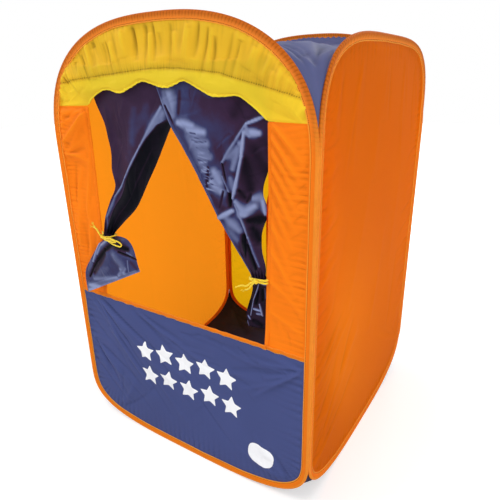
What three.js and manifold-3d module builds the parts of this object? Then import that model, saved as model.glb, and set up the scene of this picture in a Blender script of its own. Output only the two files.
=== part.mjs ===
// A child's pop-up puppet theatre: four sprung wire loops in cloth bindings make a tent-like booth
// with a curtained window in its front wall and a doorway in its back wall.
// Millimetres, +Z up, the origin on the floor at the middle of the footprint, the front towards -Y.
import * as THREE from "three";
import { mergeVertices } from "three/addons/utils/BufferGeometryUtils.js";
import Module from "manifold-3d";

const wasm = await Module();
wasm.setup();

// Driving dimensions of the whole stand
const standWidth = 720;
const standDepth = 720;
const frontHeight = 1070; // the tops of the front and back arches
const sideHeight = 1030; // the tops of the side arches
const frontArchRise = 273; // the front arch, above the tops of the corner seams
const heelHeight = 150; // the loops round in below this, towards the floor

// Roundness of the loops: the power of each quarter's superellipse
const frontArchPower = 2.48;
const sideArchPower = 3.7;
const frontHeelPower = 3.4;
const sideHeelPower = 3;

// Wire, ferrule and the keyhole section of the binding that is sewn round them
const wireRadius = 1.6;
const wireEndGap = 1; // between the wire's ends, inside the ferrule
const ferruleLength = 30;
const ferruleBore = 1.85; // radius
const ferruleRadius = 2.3;
const sleeveRadius = 3.9; // the round outer edge of a binding
const sleeveBore = 3;
const bindingDepth = 17.7; // from the round edge to the stitched edge
const bindingEdge = 1.9; // half the thickness at the stitched edge
const slotHalf = 0.9; // half the slot that takes the wall's cloth

// Cloth
const clothThickness = 1.2;
const curtainThickness = 1.4;
const seamGap = 0.3; // between pieces that are sewn edge to edge
const clothReach = 4.5; // from the wire's centre to the edge of the cloth in the slot

// Window in the front wall
const stripWidth = 107.5; // from the outside of the stand to the window
const windowSill = 400;
const valanceDrop = 193; // from the top of the front arch to where the strips meet the valance
const valanceRise = 53; // the valance's lower edge is this much higher at the middle
const scallopPitch = 126;
const scallopDepth = 7.5;
const scallopOffset = 50; // from the middle to the nearest crest

// Doorway in the back wall
const doorWidth = 330;
const doorFoot = 80;
const doorSpring = 480; // where its round top begins
const doorCorner = 60; // radius of its lower corners

// Folded hem tapes at the window and the doorway
const hemDepth = 9;
const hemThickness = 0.9;
const hemFold = 1.1; // from the cloth's cut edge to the outside of the tape's fold

// Curtains and what holds them
const headerHeight = 20;
const headerDrop = 115; // from the top of the front arch to the header tape's lower edge
const headerThickness = 1.2;
const headerLap = 9.5; // past the window at each side
const headerSeam = 5; // the curtains reach this far up the header tape
const foldCount = 3;
const cordRadius = 2;
const waistFoldDepth = 11; // the folds' swing at the tie
const bowLength = 46;
const bowWidth = 22;
const tailLength = 38;
const knotRadius = 4.2;

// Counts
const heelSteps = 8;
const archSteps = 10;
const sheetSteps = 16;
const wireSides = 6;
const cordSides = 8;
const curtainColumns = 24;
const rowsPerSpan = 2;
const ringSteps = 20;
const ringPower = 5;
const relaxSweeps = 400;
const valanceSteps = 26;
const doorSteps = 8;
const cordSteps = 3;

// Spread of the roof and the floor
const roofTauter = 3; // times as taut from front to back as from side to side
const floorFlatShare = 0.6; // of the floor's half width and depth

// Worked out from the sizes above
const shoulderHeight = frontHeight - frontArchRise;
const windowWidth = standWidth - 2 * stripWidth;
const windowHead = frontHeight - valanceDrop;
const headerLow = frontHeight - headerDrop;
const headerWidth = windowWidth + 2 * headerLap;
const curtainTop = headerLow + headerSeam;
const wallOffset = sleeveRadius; // a wall's middle plane, from the outside of the stand
const sideHalf = standDepth / 2 - 2 * sleeveRadius - seamGap - sleeveRadius;
const frontHalf = standWidth / 2 - sleeveRadius;
const linerHalfX = standWidth / 2 - 2 * sleeveRadius - seamGap; // roof and floor, between the walls
const linerHalfY = standDepth / 2 - 2 * sleeveRadius - seamGap;

const frontLoop = { half: frontHalf, top: frontHeight, archPower: frontArchPower, heelPower: frontHeelPower };
const sideLoop = { half: sideHalf, top: sideHeight, archPower: sideArchPower, heelPower: sideHeelPower };

const colours = {
  orange: new THREE.MeshStandardMaterial({ color: 0xf07a22, roughness: 0.75 }),
  trim: new THREE.MeshStandardMaterial({ color: 0xf79a45, roughness: 0.7 }),
  yellow: new THREE.MeshStandardMaterial({ color: 0xebbe32, roughness: 0.7 }),
  navy: new THREE.MeshStandardMaterial({ color: 0x434f7c, roughness: 0.6 }),
  satin: new THREE.MeshStandardMaterial({ color: 0x2d2d5a, roughness: 0.35 }),
  cord: new THREE.MeshStandardMaterial({ color: 0xf6d21f, roughness: 0.6 }),
  steel: new THREE.MeshStandardMaterial({ color: 0x9a9da2, roughness: 0.35, metalness: 1 }),
};

const stand = new THREE.Group();

function addMesh(parent, name, geometry, material) {
  const mesh = new THREE.Mesh(geometry, material);
  mesh.name = name;
  parent.add(mesh);
}

// A wall's frame: x across, y up and z outwards, from the floor in the middle plane of the wall.
function addWall(x, y, turn) {
  const wall = new THREE.Group();
  wall.position.set(x, y, 0);
  wall.rotation.z = turn;
  const upright = new THREE.Group();
  upright.rotation.x = Math.PI / 2;
  wall.add(upright);
  stand.add(wall);
  return upright;
}

// Closed solids

function signedVolume(points, triangles) {
  const [a, b, c] = [new THREE.Vector3(), new THREE.Vector3(), new THREE.Vector3()];
  let sum = 0;
  for (let i = 0; i < triangles.length; i += 3) {
    a.copy(points[triangles[i]]);
    b.copy(points[triangles[i + 1]]);
    c.copy(points[triangles[i + 2]]);
    sum += a.dot(b.cross(c));
  }
  return sum;
}

function solidFrom(points, triangles) {
  if (signedVolume(points, triangles) < 0) triangles.reverse();
  return new THREE.BufferGeometry().setFromPoints(points).setIndex(triangles);
}

// A section, [outwards, beside] points, carried along flat [across, up] points. "Outwards" is to the
// right of the way that the points run. A path that isn't closed gets a cap at each end.
function sweep(path, section, closed) {
  const count = path.length;
  const sides = section.length;
  const points = path.flatMap((p, i) => {
    const before = path[closed ? (i + count - 1) % count : Math.max(i - 1, 0)];
    const after = path[closed ? (i + 1) % count : Math.min(i + 1, count - 1)];
    const outward = after.clone().sub(before).normalize().rotateAround(new THREE.Vector2(), -Math.PI / 2);
    return section.map(([u, v]) => new THREE.Vector3(p.x + outward.x * u, p.y + outward.y * u, v));
  });
  const triangles = [];
  for (let i = 0; i < (closed ? count : count - 1); i++) {
    const here = i * sides;
    const next = ((i + 1) % count) * sides;
    for (let j = 0; j < sides; j++) {
      const k = (j + 1) % sides;
      triangles.push(here + j, here + k, next + k, here + j, next + k, next + j);
    }
  }
  if (!closed) {
    const flat = section.map(([u, v]) => new THREE.Vector2(u, v));
    const last = (count - 1) * sides;
    for (const [a, b, c] of THREE.ShapeUtils.triangulateShape(flat, [])) {
      triangles.push(a, c, b, last + a, last + b, last + c);
    }
    fixCaps(points, triangles, sides, flat);
  }
  return solidFrom(points, triangles);
}

// The caps' triangles turn with the section, so they are reversed where it runs the other way.
function fixCaps(points, triangles, sides, flat) {
  if (THREE.ShapeUtils.area(flat) > 0) return;
  const caps = 3 * 2 * (sides - 2);
  for (let i = triangles.length - caps; i < triangles.length; i += 3) {
    [triangles[i + 1], triangles[i + 2]] = [triangles[i + 2], triangles[i + 1]];
  }
}

// A closed solid between two grids of points, rows of equal length.
function sheetSolid(outer, inner) {
  const rows = outer.length;
  const columns = outer[0].length;
  const points = [...outer.flat(), ...inner.flat()];
  const under = rows * columns;
  const at = (i, j) => i * columns + j;
  const triangles = [];
  const quad = (a, b, c, d) => triangles.push(a, b, c, a, c, d);
  for (let i = 0; i < rows - 1; i++) {
    for (let j = 0; j < columns - 1; j++) {
      quad(at(i, j), at(i, j + 1), at(i + 1, j + 1), at(i + 1, j));
      quad(under + at(i + 1, j), under + at(i + 1, j + 1), under + at(i, j + 1), under + at(i, j));
    }
    quad(at(i + 1, 0), under + at(i + 1, 0), under + at(i, 0), at(i, 0));
    const end = columns - 1;
    quad(at(i, end), under + at(i, end), under + at(i + 1, end), at(i + 1, end));
  }
  for (let j = 0; j < columns - 1; j++) {
    quad(at(0, j), under + at(0, j), under + at(0, j + 1), at(0, j + 1));
    quad(at(rows - 1, j + 1), under + at(rows - 1, j + 1), under + at(rows - 1, j), at(rows - 1, j));
  }
  return solidFrom(points, triangles);
}

// The unit normal of a grid of points at one of them.
function gridNormal(grid, i, j) {
  const rowUp = grid[Math.min(i + 1, grid.length - 1)][j];
  const rowDown = grid[Math.max(i - 1, 0)][j];
  const right = grid[i][Math.min(j + 1, grid[i].length - 1)];
  const left = grid[i][Math.max(j - 1, 0)];
  return right.clone().sub(left).cross(rowUp.clone().sub(rowDown)).normalize();
}

function toManifold(geometry) {
  const bare = new THREE.BufferGeometry();
  bare.setAttribute("position", geometry.getAttribute("position"));
  bare.setIndex(geometry.getIndex());
  const merged = mergeVertices(bare);
  return new wasm.Manifold(
    new wasm.Mesh({
      numProp: 3,
      vertProperties: merged.getAttribute("position").array,
      triVerts: new Uint32Array(merged.getIndex().array),
    }),
  );
}

function fromManifold(solid) {
  const mesh = solid.getMesh();
  return new THREE.BufferGeometry()
    .setAttribute("position", new THREE.BufferAttribute(mesh.vertProperties, 3))
    .setIndex(new THREE.BufferAttribute(mesh.triVerts, 1));
}

function join(...geometries) {
  return fromManifold(geometries.map(toManifold).reduce((all, one) => all.add(one)));
}

// Outlines

const quarterPower = (value, power) => value ** (2 / power);

// A loop's outline about its wire's centre, moved inwards by inset: anticlockwise [across, up] points
// from the middle of the floor.
function loopOutline(loop, inset = 0) {
  const half = loop.half - inset;
  const archRise = loop.top - sleeveRadius - inset - shoulderHeight;
  const heelDrop = heelHeight - sleeveRadius - inset;
  const right = [];
  for (let k = 0; k <= heelSteps; k++) {
    const phase = (k / heelSteps) * (Math.PI / 2);
    right.push(
      new THREE.Vector2(
        half * quarterPower(Math.sin(phase), loop.heelPower),
        heelHeight - heelDrop * quarterPower(Math.max(Math.cos(phase), 0), loop.heelPower),
      ),
    );
  }
  right.at(-1).set(half, heelHeight);
  right.push(new THREE.Vector2(half, (heelHeight + shoulderHeight) / 2));
  for (let k = 0; k < archSteps; k++) {
    const phase = (k / archSteps) * (Math.PI / 2);
    right.push(
      new THREE.Vector2(
        half * quarterPower(Math.cos(phase), loop.archPower),
        shoulderHeight + archRise * quarterPower(Math.sin(phase), loop.archPower),
      ),
    );
  }
  const top = new THREE.Vector2(0, shoulderHeight + archRise);
  const left = right.slice(1).reverse().map((p) => new THREE.Vector2(-p.x, p.y));
  return [...right, top, ...left];
}

function circleSection(radius, sides) {
  return Array.from({ length: sides }, (_, k) => {
    const angle = (k / sides) * 2 * Math.PI;
    return [radius * Math.cos(angle), radius * Math.sin(angle)];
  });
}

function circlePoints(radius) {
  return circleSection(radius, cordSides).map(([u, v]) => new THREE.Vector2(u, v));
}

// The binding's keyhole section: a round edge over the wire and two legs either side of the cloth.
function bindingSection() {
  const legEnd = sleeveRadius - bindingDepth;
  const diagonal = sleeveRadius * Math.SQRT1_2;
  const neck = -Math.sqrt(sleeveBore ** 2 - slotHalf ** 2) + (sleeveBore - ferruleRadius) / 3;
  const half = [
    [sleeveRadius, 0],
    [diagonal, diagonal],
    [0, sleeveRadius],
    [legEnd, bindingEdge],
    [legEnd, slotHalf],
    [neck, slotHalf],
    [-sleeveBore / 2, sleeveBore * Math.sin(Math.PI / 3)],
    [sleeveBore / 2, sleeveBore * Math.sin(Math.PI / 3)],
    [sleeveBore, 0],
  ];
  const mirrored = half.slice(1, -1).reverse().map(([u, v]) => [u, -v]);
  return [...half, ...mirrored];
}

// A folded tape's section: its fold is outwards of the cloth's cut edge, its legs lie on both faces.
function hemSection() {
  const outer = clothThickness / 2 + seamGap + hemThickness;
  const slot = clothThickness / 2 + seamGap;
  const slotEnd = seamGap;
  return [
    [hemFold + seamGap, -outer / 2],
    [hemFold + seamGap, outer / 2],
    [seamGap, outer],
    [-hemDepth, outer],
    [-hemDepth, slot],
    [slotEnd, slot],
    [slotEnd, -slot],
    [-hemDepth, -slot],
    [-hemDepth, -outer],
    [seamGap, -outer],
  ];
}

function doorOutline() {
  const shape = new THREE.Path();
  const half = doorWidth / 2;
  shape.moveTo(-half + doorCorner, doorFoot);
  shape.absarc(half - doorCorner, doorFoot + doorCorner, doorCorner, -Math.PI / 2, 0, false);
  shape.absarc(0, doorSpring, half, 0, Math.PI, false);
  shape.absarc(-half + doorCorner, doorFoot + doorCorner, doorCorner, Math.PI, 1.5 * Math.PI, false);
  const points = shape.getPoints(doorSteps);
  return points.filter((p, i) => p.distanceTo(points[(i + 1) % points.length]) > seamGap);
}

// The height of the valance's lower edge above a place across the window.
function valanceEdge(across) {
  const share = across / (windowWidth / 2);
  const swell = valanceRise * (1 - share ** 4);
  const wave = scallopDepth * Math.cos((2 * Math.PI * (across - scallopOffset)) / scallopPitch);
  return windowHead + swell + wave * (1 - share ** 6);
}

function valanceEdgePoints() {
  return Array.from({ length: valanceSteps + 1 }, (_, k) => {
    const across = (k / valanceSteps - 1 / 2) * windowWidth;
    return new THREE.Vector2(across, valanceEdge(across));
  });
}

// Walls

function clothPlate(points, holes = []) {
  const shape = new THREE.Shape(points);
  for (const hole of holes) shape.holes.push(new THREE.Path(hole));
  const plate = new THREE.ExtrudeGeometry(shape, { depth: clothThickness, bevelEnabled: false });
  return plate.translate(0, 0, -clothThickness / 2);
}

// The part of a loop's cloth that lies inside a polygon, both in the wall's plane.
function clothPart(loop, polygon) {
  const whole = toManifold(clothPlate(loopOutline(loop, clothReach)));
  const cutter = new THREE.ExtrudeGeometry(new THREE.Shape(polygon), {
    depth: 2 * clothThickness,
    bevelEnabled: false,
  }).translate(0, 0, -clothThickness);
  return fromManifold(whole.intersect(toManifold(cutter)));
}

function addLoop(wall, name, loop) {
  const path = loopOutline(loop);
  const start = path[0].clone().setX(wireEndGap / 2);
  const end = path[0].clone().setX(-wireEndGap / 2);
  const wirePath = [start, ...path.slice(1), end];
  addMesh(wall, `${name}_wire`, sweep(wirePath, circleSection(wireRadius, wireSides), false), colours.steel);
  addMesh(wall, `${name}_wire_ferrule`, ferrule(path[0].y), colours.steel);
  addMesh(wall, `${name}_edge_binding`, sweep(path, bindingSection(), true), colours.trim);
}

// A crimped tube round the two ends of a loop's wire.
function ferrule(height) {
  const ring = new THREE.Shape(circlePoints(ferruleRadius));
  ring.holes.push(new THREE.Path(circlePoints(ferruleBore)));
  return new THREE.ExtrudeGeometry(ring, { depth: ferruleLength, bevelEnabled: false })
    .translate(0, 0, -ferruleLength / 2)
    .rotateY(Math.PI / 2)
    .translate(0, height, 0);
}

function addFrontWall() {
  const wall = addWall(0, -standDepth / 2 + wallOffset, 0);
  addLoop(wall, "front", frontLoop);
  const far = standWidth;
  const high = frontHeight * 2;
  const half = windowWidth / 2;
  const edge = valanceEdgePoints();
  const v = (x, y) => new THREE.Vector2(x, y);

  const overEdge = [v(-far, windowHead), ...edge, v(far, windowHead), v(far, high), v(-far, high)];
  addMesh(wall, "valance", clothPart(frontLoop, overEdge), colours.yellow);
  addMesh(wall, "valance_hem", sweep(edge, hemSection(), false), colours.yellow);

  const stripTop = windowHead - seamGap;
  const stripFoot = windowSill;
  for (const [name, side] of [["left", -1], ["right", 1]]) {
    const [near, out] = [side * half, side * far];
    const strip = [v(near, stripFoot), v(out, stripFoot), v(out, stripTop), v(near, stripTop)];
    if (side < 0) strip.reverse();
    addMesh(wall, `${name}_front_strip`, clothPart(frontLoop, strip), colours.orange);
    const hemTop = windowHead - hemDepth;
    const hemFoot = windowSill + hemFold + 2 * seamGap;
    const ends = [v(side * half, hemFoot), v(side * half, hemTop)];
    if (side > 0) ends.reverse();
    addMesh(wall, `${name}_window_hem`, sweep(ends, hemSection(), false), colours.orange);
  }

  const belowSill = [v(-far, -far), v(far, -far), v(far, stripFoot - seamGap), v(-far, stripFoot - seamGap)];
  addMesh(wall, "lower_front_panel", clothPart(frontLoop, belowSill), colours.navy);
  const tapeHalf = half - seamGap;
  const sill = [v(tapeHalf, stripFoot - seamGap), v(-tapeHalf, stripFoot - seamGap)];
  addMesh(wall, "sill_tape", sweep(sill, hemSection(), false), colours.trim);
  return wall;
}

function addSideWall(name, x, turn) {
  const wall = addWall(x, 0, turn);
  addLoop(wall, name, sideLoop);
  addMesh(wall, `${name}_side_panel`, clothPlate(loopOutline(sideLoop, clothReach)), colours.orange);
}

function addBackWall() {
  const wall = addWall(0, standDepth / 2 - wallOffset, Math.PI);
  addLoop(wall, "back", frontLoop);
  const door = doorOutline();
  const panel = clothPlate(loopOutline(frontLoop, clothReach), [door]);
  addMesh(wall, "back_panel", panel, colours.yellow);
  addMesh(wall, "doorway_hem", sweep([...door].reverse(), hemSection(), true), colours.trim);
}

// Roof and floor: cloth spread between the four loops

// Places across a liner, closer together towards its edges, as shares from -1 to 1.
function linerShares(power) {
  return Array.from({ length: sheetSteps + 1 }, (_, k) => {
    const cosine = Math.cos(Math.PI * (1 - k / sheetSteps));
    const even = 2 * k === sheetSteps;
    return even ? 0 : Math.sign(cosine) * quarterPower(Math.abs(cosine), power);
  });
}

const isBorder = (i) => i === 0 || i === sheetSteps;

const archShare = (share, power) => Math.max(1 - Math.abs(share) ** power, 0) ** (1 / power);

function linerSolid(heights, xShares, yShares, thicknessWay) {
  const outer = xShares.map((sx, i) =>
    yShares.map((sy, j) => new THREE.Vector3(sx * linerHalfX, sy * linerHalfY, heights[i][j])),
  );
  const inner = outer.map((row, i) =>
    row.map((p, j) => {
      const normal = gridNormal(outer, i, j);
      if (normal.z < 0) normal.negate();
      if (isBorder(i)) normal.setX(0);
      if (isBorder(j)) normal.setY(0);
      return p.clone().addScaledVector(normal.normalize(), thicknessWay * clothThickness);
    }),
  );
  return sheetSolid(outer, inner);
}

// Cloth that is taut between its fixed places: each other height settles at its neighbours' mean, in
// which the pull from front to back counts tauter times.
function stretch(heights, isFixed, tauter) {
  for (let n = 0; n < relaxSweeps; n++) {
    heights.forEach((row, i) =>
      row.forEach((_, j) => {
        if (isFixed(i, j)) return;
        const along = row[j - 1] + row[j + 1];
        const across = heights[i - 1][j] + heights[i + 1][j];
        row[j] = (tauter * along + across) / (2 * tauter + 2);
      }),
    );
  }
  return heights;
}

// The roof's edges follow the arches.
function roofHeights(xShares, yShares) {
  const frontRise = frontHeight - sleeveRadius - shoulderHeight;
  const sideRise = sideHeight - sleeveRadius - shoulderHeight;
  const heights = xShares.map((sx, i) =>
    yShares.map((sy) =>
      isBorder(i)
        ? shoulderHeight + sideRise * archShare(sy, sideArchPower)
        : shoulderHeight + frontRise * archShare(sx, frontArchPower),
    ),
  );
  return stretch(heights, (i, j) => isBorder(i) || isBorder(j), roofTauter);
}

// The floor lies flat on the ground and its border climbs the loops' rounded heels.
function floorHeights(xShares, yShares) {
  const rise = heelHeight - sleeveRadius;
  const isFlat = (i, j) => Math.max(Math.abs(xShares[i]), Math.abs(yShares[j])) < floorFlatShare;
  const heights = xShares.map((sx, i) =>
    yShares.map((sy, j) => {
      if (isBorder(i)) return heelHeight - rise * archShare(sy, sideHeelPower);
      return isBorder(j) ? heelHeight - rise * archShare(sx, frontHeelPower) : 0;
    }),
  );
  return stretch(heights, (i, j) => isBorder(i) || isBorder(j) || isFlat(i, j), 1);
}

function addLiners() {
  const [roofX, roofY] = [linerShares(frontArchPower), linerShares(sideArchPower)];
  const [floorX, floorY] = [linerShares(frontHeelPower), linerShares(sideHeelPower)];
  addMesh(stand, "roof", linerSolid(roofHeights(roofX, roofY), roofX, roofY, -1), colours.navy);
  addMesh(stand, "floor", linerSolid(floorHeights(floorX, floorY), floorX, floorY, 1), colours.navy);
}

// Curtains, in the front wall's frame

// Each edge runs from the header down through the waist at the tie to the hem: [across, up] as shares
// of the window's half width, and of its height from the sill to the head.
const topShare = (curtainTop - windowSill) / (windowHead - windowSill);
const leftCurtainShares = {
  outer: [[-1.03, topShare], [-0.96, 0.85], [-0.86, 0.64], [-0.86, 0.5], [-0.93, 0.37], [-0.93, 0.345],
    [-1.12, 0.25], [-1.34, 0.13], [-1.34, 0.02]],
  inner: [[-0.01, topShare], [-0.05, 0.9], [-0.37, 0.66], [-0.62, 0.5], [-0.82, 0.37], [-0.82, 0.345],
    [-0.68, 0.29], [-0.56, 0.24], [-0.48, 0.19]],
};
const rightCurtainShares = {
  outer: [[1.03, topShare], [0.97, 0.85], [0.93, 0.64], [0.95, 0.5], [0.93, 0.34], [0.93, 0.315],
    [1.03, 0.22], [1.08, 0.13], [1.08, 0.05]],
  inner: [[0.01, topShare], [0.05, 0.9], [0.37, 0.66], [0.62, 0.5], [0.82, 0.34], [0.82, 0.315],
    [0.77, 0.22], [0.72, 0.13], [0.7, 0.05]],
};
const leftTailShares = [[-1, 0.35], [-1, 0.75]];
const rightTailShares = [[-0.8, -0.3], [-0.7, -0.6]];
const waistIndex = 4; // the waist lies between this edge point and the next

// How far the cloth stands out of the wall's plane at each edge point, and how far its folds swing.
const behindWall = slotHalf + headerThickness + 2 * seamGap;
const topSwing = 3.5;
const hangSwing = 6;
const skirtSwing = 13;
const skirtStandoff = 19;
const insideStandoff = -21;
const insideWaistShare = 0.34; // of the inside stand-off, at the right tie
const swings = [topSwing, hangSwing, hangSwing, hangSwing, waistFoldDepth, waistFoldDepth,
  skirtSwing, skirtSwing, skirtSwing];
const topOffset = -(behindWall + topSwing + curtainThickness);
const hangOffset = topOffset - hangSwing;

const throughOffsets = [topOffset, hangOffset, hangOffset, (hangOffset + skirtStandoff) / 4,
  skirtStandoff * 0.7, skirtStandoff * 0.8, skirtStandoff, skirtStandoff, skirtStandoff];
const insideWaist = insideStandoff * insideWaistShare;
const insideOffsets = [topOffset, hangOffset, hangOffset, hangOffset, insideWaist, insideWaist,
  insideStandoff, insideStandoff, insideStandoff];

function spanValue(values, t) {
  const spans = values.length - 1;
  const at = Math.min(Math.floor(t * spans), spans - 1);
  return THREE.MathUtils.lerp(values[at], values[at + 1], t * spans - at);
}

function edgeCurve(shares) {
  const rise = windowHead - windowSill;
  return new THREE.CatmullRomCurve3(
    shares.map(([x, z]) => new THREE.Vector3((x * windowWidth) / 2, windowSill + z * rise, 0)),
    false,
    "centripetal",
  );
}

function curtainGrid(shares, offsets) {
  const [outer, inner] = [edgeCurve(shares.outer), edgeCurve(shares.inner)];
  const rows = (shares.outer.length - 1) * rowsPerSpan;
  return Array.from({ length: rows + 1 }, (_, i) => {
    const t = i / rows;
    const [a, b] = [outer.getPoint(t), inner.getPoint(t)];
    return Array.from({ length: curtainColumns + 1 }, (_, j) => {
      const across = j / curtainColumns;
      const swing = spanValue(swings, t) * Math.cos(2 * Math.PI * foldCount * across);
      return a.clone().lerp(b, across).setZ(spanValue(offsets, t) + swing);
    });
  });
}

// The grid is a curtain's inside face, and the cloth is as thick as it is towards the front.
function curtainSolid(grid, side) {
  const inner = grid.map((row, i) =>
    row.map((p, j) => p.clone().addScaledVector(gridNormal(grid, i, j), side * curtainThickness)),
  );
  return sheetSolid(grid, inner);
}

// The middle of a curtain's waist, and the width of the cloth there.
function waistOf(shares, offsets) {
  const rise = windowHead - windowSill;
  const [outer, inner] = [shares.outer, shares.inner].map((edge) => edge[waistIndex]);
  const below = shares.outer[waistIndex + 1];
  const middle = new THREE.Vector3(
    ((outer[0] + inner[0]) / 2) * (windowWidth / 2),
    windowSill + ((outer[1] + below[1]) / 2) * rise,
    (offsets[waistIndex] + offsets[waistIndex + 1]) / 2,
  );
  middle.width = (Math.abs(outer[0] - inner[0]) * windowWidth) / 2;
  return middle;
}

function cordAlong(points) {
  return new THREE.ExtrudeGeometry(new THREE.Shape(circlePoints(cordRadius)), {
    extrudePath: new THREE.CatmullRomCurve3(points),
    steps: points.length * cordSteps,
    bevelEnabled: false,
  });
}

// The cord round a waist: a rounded square, because the gathered folds fill its corners.
function tieRing(waist) {
  const cornerShare = quarterPower(Math.SQRT1_2, ringPower);
  const clear = curtainThickness + seamGap + cordRadius;
  const halfWide = (waist.width / 2 + clear) / cornerShare;
  const halfDeep = (waistFoldDepth + clear) / cornerShare;
  const signed = (value) => Math.sign(value) * quarterPower(Math.abs(value), ringPower);
  const path = Array.from({ length: ringSteps }, (_, k) => {
    const angle = ((k + 1 / 2) / ringSteps) * 2 * Math.PI;
    return new THREE.Vector2(halfWide * signed(Math.cos(angle)), halfDeep * signed(Math.sin(angle)));
  });
  return sweep(path, circleSection(cordRadius, cordSides), true)
    .rotateX(-Math.PI / 2)
    .translate(waist.x, waist.y, waist.z);
}

// The knot on the front of a tie, with its two tails and, on a bow, a loop. The shares say which way
// each tail runs.
function tieKnot(waist, tailShares, hasLoop) {
  const ringFront = waistFoldDepth + curtainThickness + seamGap + cordRadius;
  const cornerShare = quarterPower(Math.SQRT1_2, ringPower);
  const front = ringFront / cornerShare + cordRadius + seamGap + knotRadius;
  const knot = new THREE.Vector3(waist.x, waist.y, waist.z + front);
  const from = (dx, dy) => knot.clone().add(new THREE.Vector3(dx, dy, 0));
  const tails = tailShares.map(([x, y]) => {
    const end = [x * tailLength, y * tailLength];
    return cordAlong([from(0, 0), from(end[0] / 2, end[1] / 4), from(...end)]);
  });
  const loopShares = [[0, 0], [0.4, -0.1], [1, -0.8], [0.9, -1], [0.3, -0.7], [0, 0]];
  const loop = cordAlong(loopShares.map(([x, y]) => from(x * bowLength, y * bowWidth)));
  const ball = new THREE.SphereGeometry(knotRadius, cordSides, cordSides / 2).translate(...knot.toArray());
  return join(ball, ...tails, ...(hasLoop ? [loop] : []));
}

// The cord that holds the tie to the hem at the window's edge.
function tieAnchor(waist, side) {
  const ringWide = waist.width / 2 + curtainThickness + seamGap + cordRadius;
  const ringEdge = ringWide / quarterPower(Math.SQRT1_2, ringPower) + cordRadius + seamGap;
  const hemEdge = windowWidth / 2 - hemFold - 2 * seamGap;
  return cordAlong([
    new THREE.Vector3(side * hemEdge, waist.y, 0),
    new THREE.Vector3(side * (hemEdge - cordRadius), waist.y, 0),
    new THREE.Vector3(waist.x + side * (ringEdge + cordRadius), waist.y, waist.z),
    new THREE.Vector3(waist.x + side * ringEdge, waist.y, waist.z),
  ]);
}

function addCurtains(wall) {
  const header = new THREE.BoxGeometry(headerWidth, headerHeight, headerThickness);
  const headerDepth = clothThickness / 2 + seamGap + headerThickness / 2;
  header.translate(0, headerLow + headerHeight / 2, -headerDepth);
  addMesh(wall, "curtain_header", header, colours.satin);
  const sides = [
    ["left", -1, leftCurtainShares, throughOffsets, leftTailShares],
    ["right", 1, rightCurtainShares, insideOffsets, rightTailShares],
  ];
  for (const [name, side, shares, offsets, tailShares] of sides) {
    addMesh(wall, `${name}_curtain`, curtainSolid(curtainGrid(shares, offsets), side), colours.satin);
    const waist = waistOf(shares, offsets);
    addMesh(wall, `${name}_tie`, tieRing(waist), colours.cord);
    addMesh(wall, `${name}_tie_knot`, tieKnot(waist, tailShares, side < 0), colours.cord);
    addMesh(wall, `${name}_tie_anchor`, tieAnchor(waist, side), colours.cord);
  }
}

const frontWall = addFrontWall();
addSideWall("right", standWidth / 2 - wallOffset, Math.PI / 2);
addSideWall("left", -standWidth / 2 + wallOffset, -Math.PI / 2);
addBackWall();
addLiners();
addCurtains(frontWall);

export default stand;
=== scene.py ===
"""Pop-up puppet theatre: the cloth walls, tapes, curtains and cords on its four sprung wire loops."""

import math
import random
from collections import namedtuple

import bpy
import numpy as np
from bpy.props import FloatProperty, FloatVectorProperty, IntProperty, PointerProperty
from bpy.types import Operator, Panel, PropertyGroup
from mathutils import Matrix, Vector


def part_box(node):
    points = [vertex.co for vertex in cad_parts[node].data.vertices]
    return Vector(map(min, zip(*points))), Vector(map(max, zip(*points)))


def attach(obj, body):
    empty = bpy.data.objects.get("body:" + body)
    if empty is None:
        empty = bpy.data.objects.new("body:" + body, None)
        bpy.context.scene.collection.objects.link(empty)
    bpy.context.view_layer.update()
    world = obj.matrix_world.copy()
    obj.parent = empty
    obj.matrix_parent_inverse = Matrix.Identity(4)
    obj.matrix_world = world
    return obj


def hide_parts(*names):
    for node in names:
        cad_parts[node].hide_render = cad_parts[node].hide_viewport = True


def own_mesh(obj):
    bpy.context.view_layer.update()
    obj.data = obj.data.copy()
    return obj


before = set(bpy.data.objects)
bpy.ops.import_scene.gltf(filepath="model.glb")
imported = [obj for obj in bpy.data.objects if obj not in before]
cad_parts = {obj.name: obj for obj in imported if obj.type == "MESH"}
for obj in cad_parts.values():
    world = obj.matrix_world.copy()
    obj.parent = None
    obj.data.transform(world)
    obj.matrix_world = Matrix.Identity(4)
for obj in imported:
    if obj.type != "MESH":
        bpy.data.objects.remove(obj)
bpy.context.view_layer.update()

bl_info = {
    "name": "Pop-up Puppet Theatre",
    "version": (1, 0, 0),
    "blender": (4, 5, 0),
    "location": "View3D > Sidebar > Theatre",
    "description": "Sews cloth, tape, curtains and cords onto the wire loops of a play theatre",
    "category": "Object",
}


def half_span(node, axis):
    low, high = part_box(node)
    return (high[axis] - low[axis]) / 2


def highest(node):
    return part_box(node)[1][2]


def linear(colour):
    """A colour written as 0xRRGGBB, as the light values that shaders use."""
    parts = [(colour >> shift & 255) / 255 for shift in (16, 8, 0)]
    return tuple(p / 12.92 if p <= 0.04045 else ((p + 0.055) / 1.055) ** 2.4 for p in parts)


# Settings

SLEEVE = 0.0039


def number(name, description, default, low=0.0, **options):
    return FloatProperty(name=name, description=description, default=default, min=low, **options)


def length(name, description, default):
    return number(name, description, default, unit="LENGTH", precision=4)


def power(name, description, default):
    return number(name, description, default, low=1.0, max=8.0)


def colour(name, description, default):
    return FloatVectorProperty(
        name=name, description=description, default=linear(default), size=3, subtype="COLOR", min=0, max=1
    )


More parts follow.
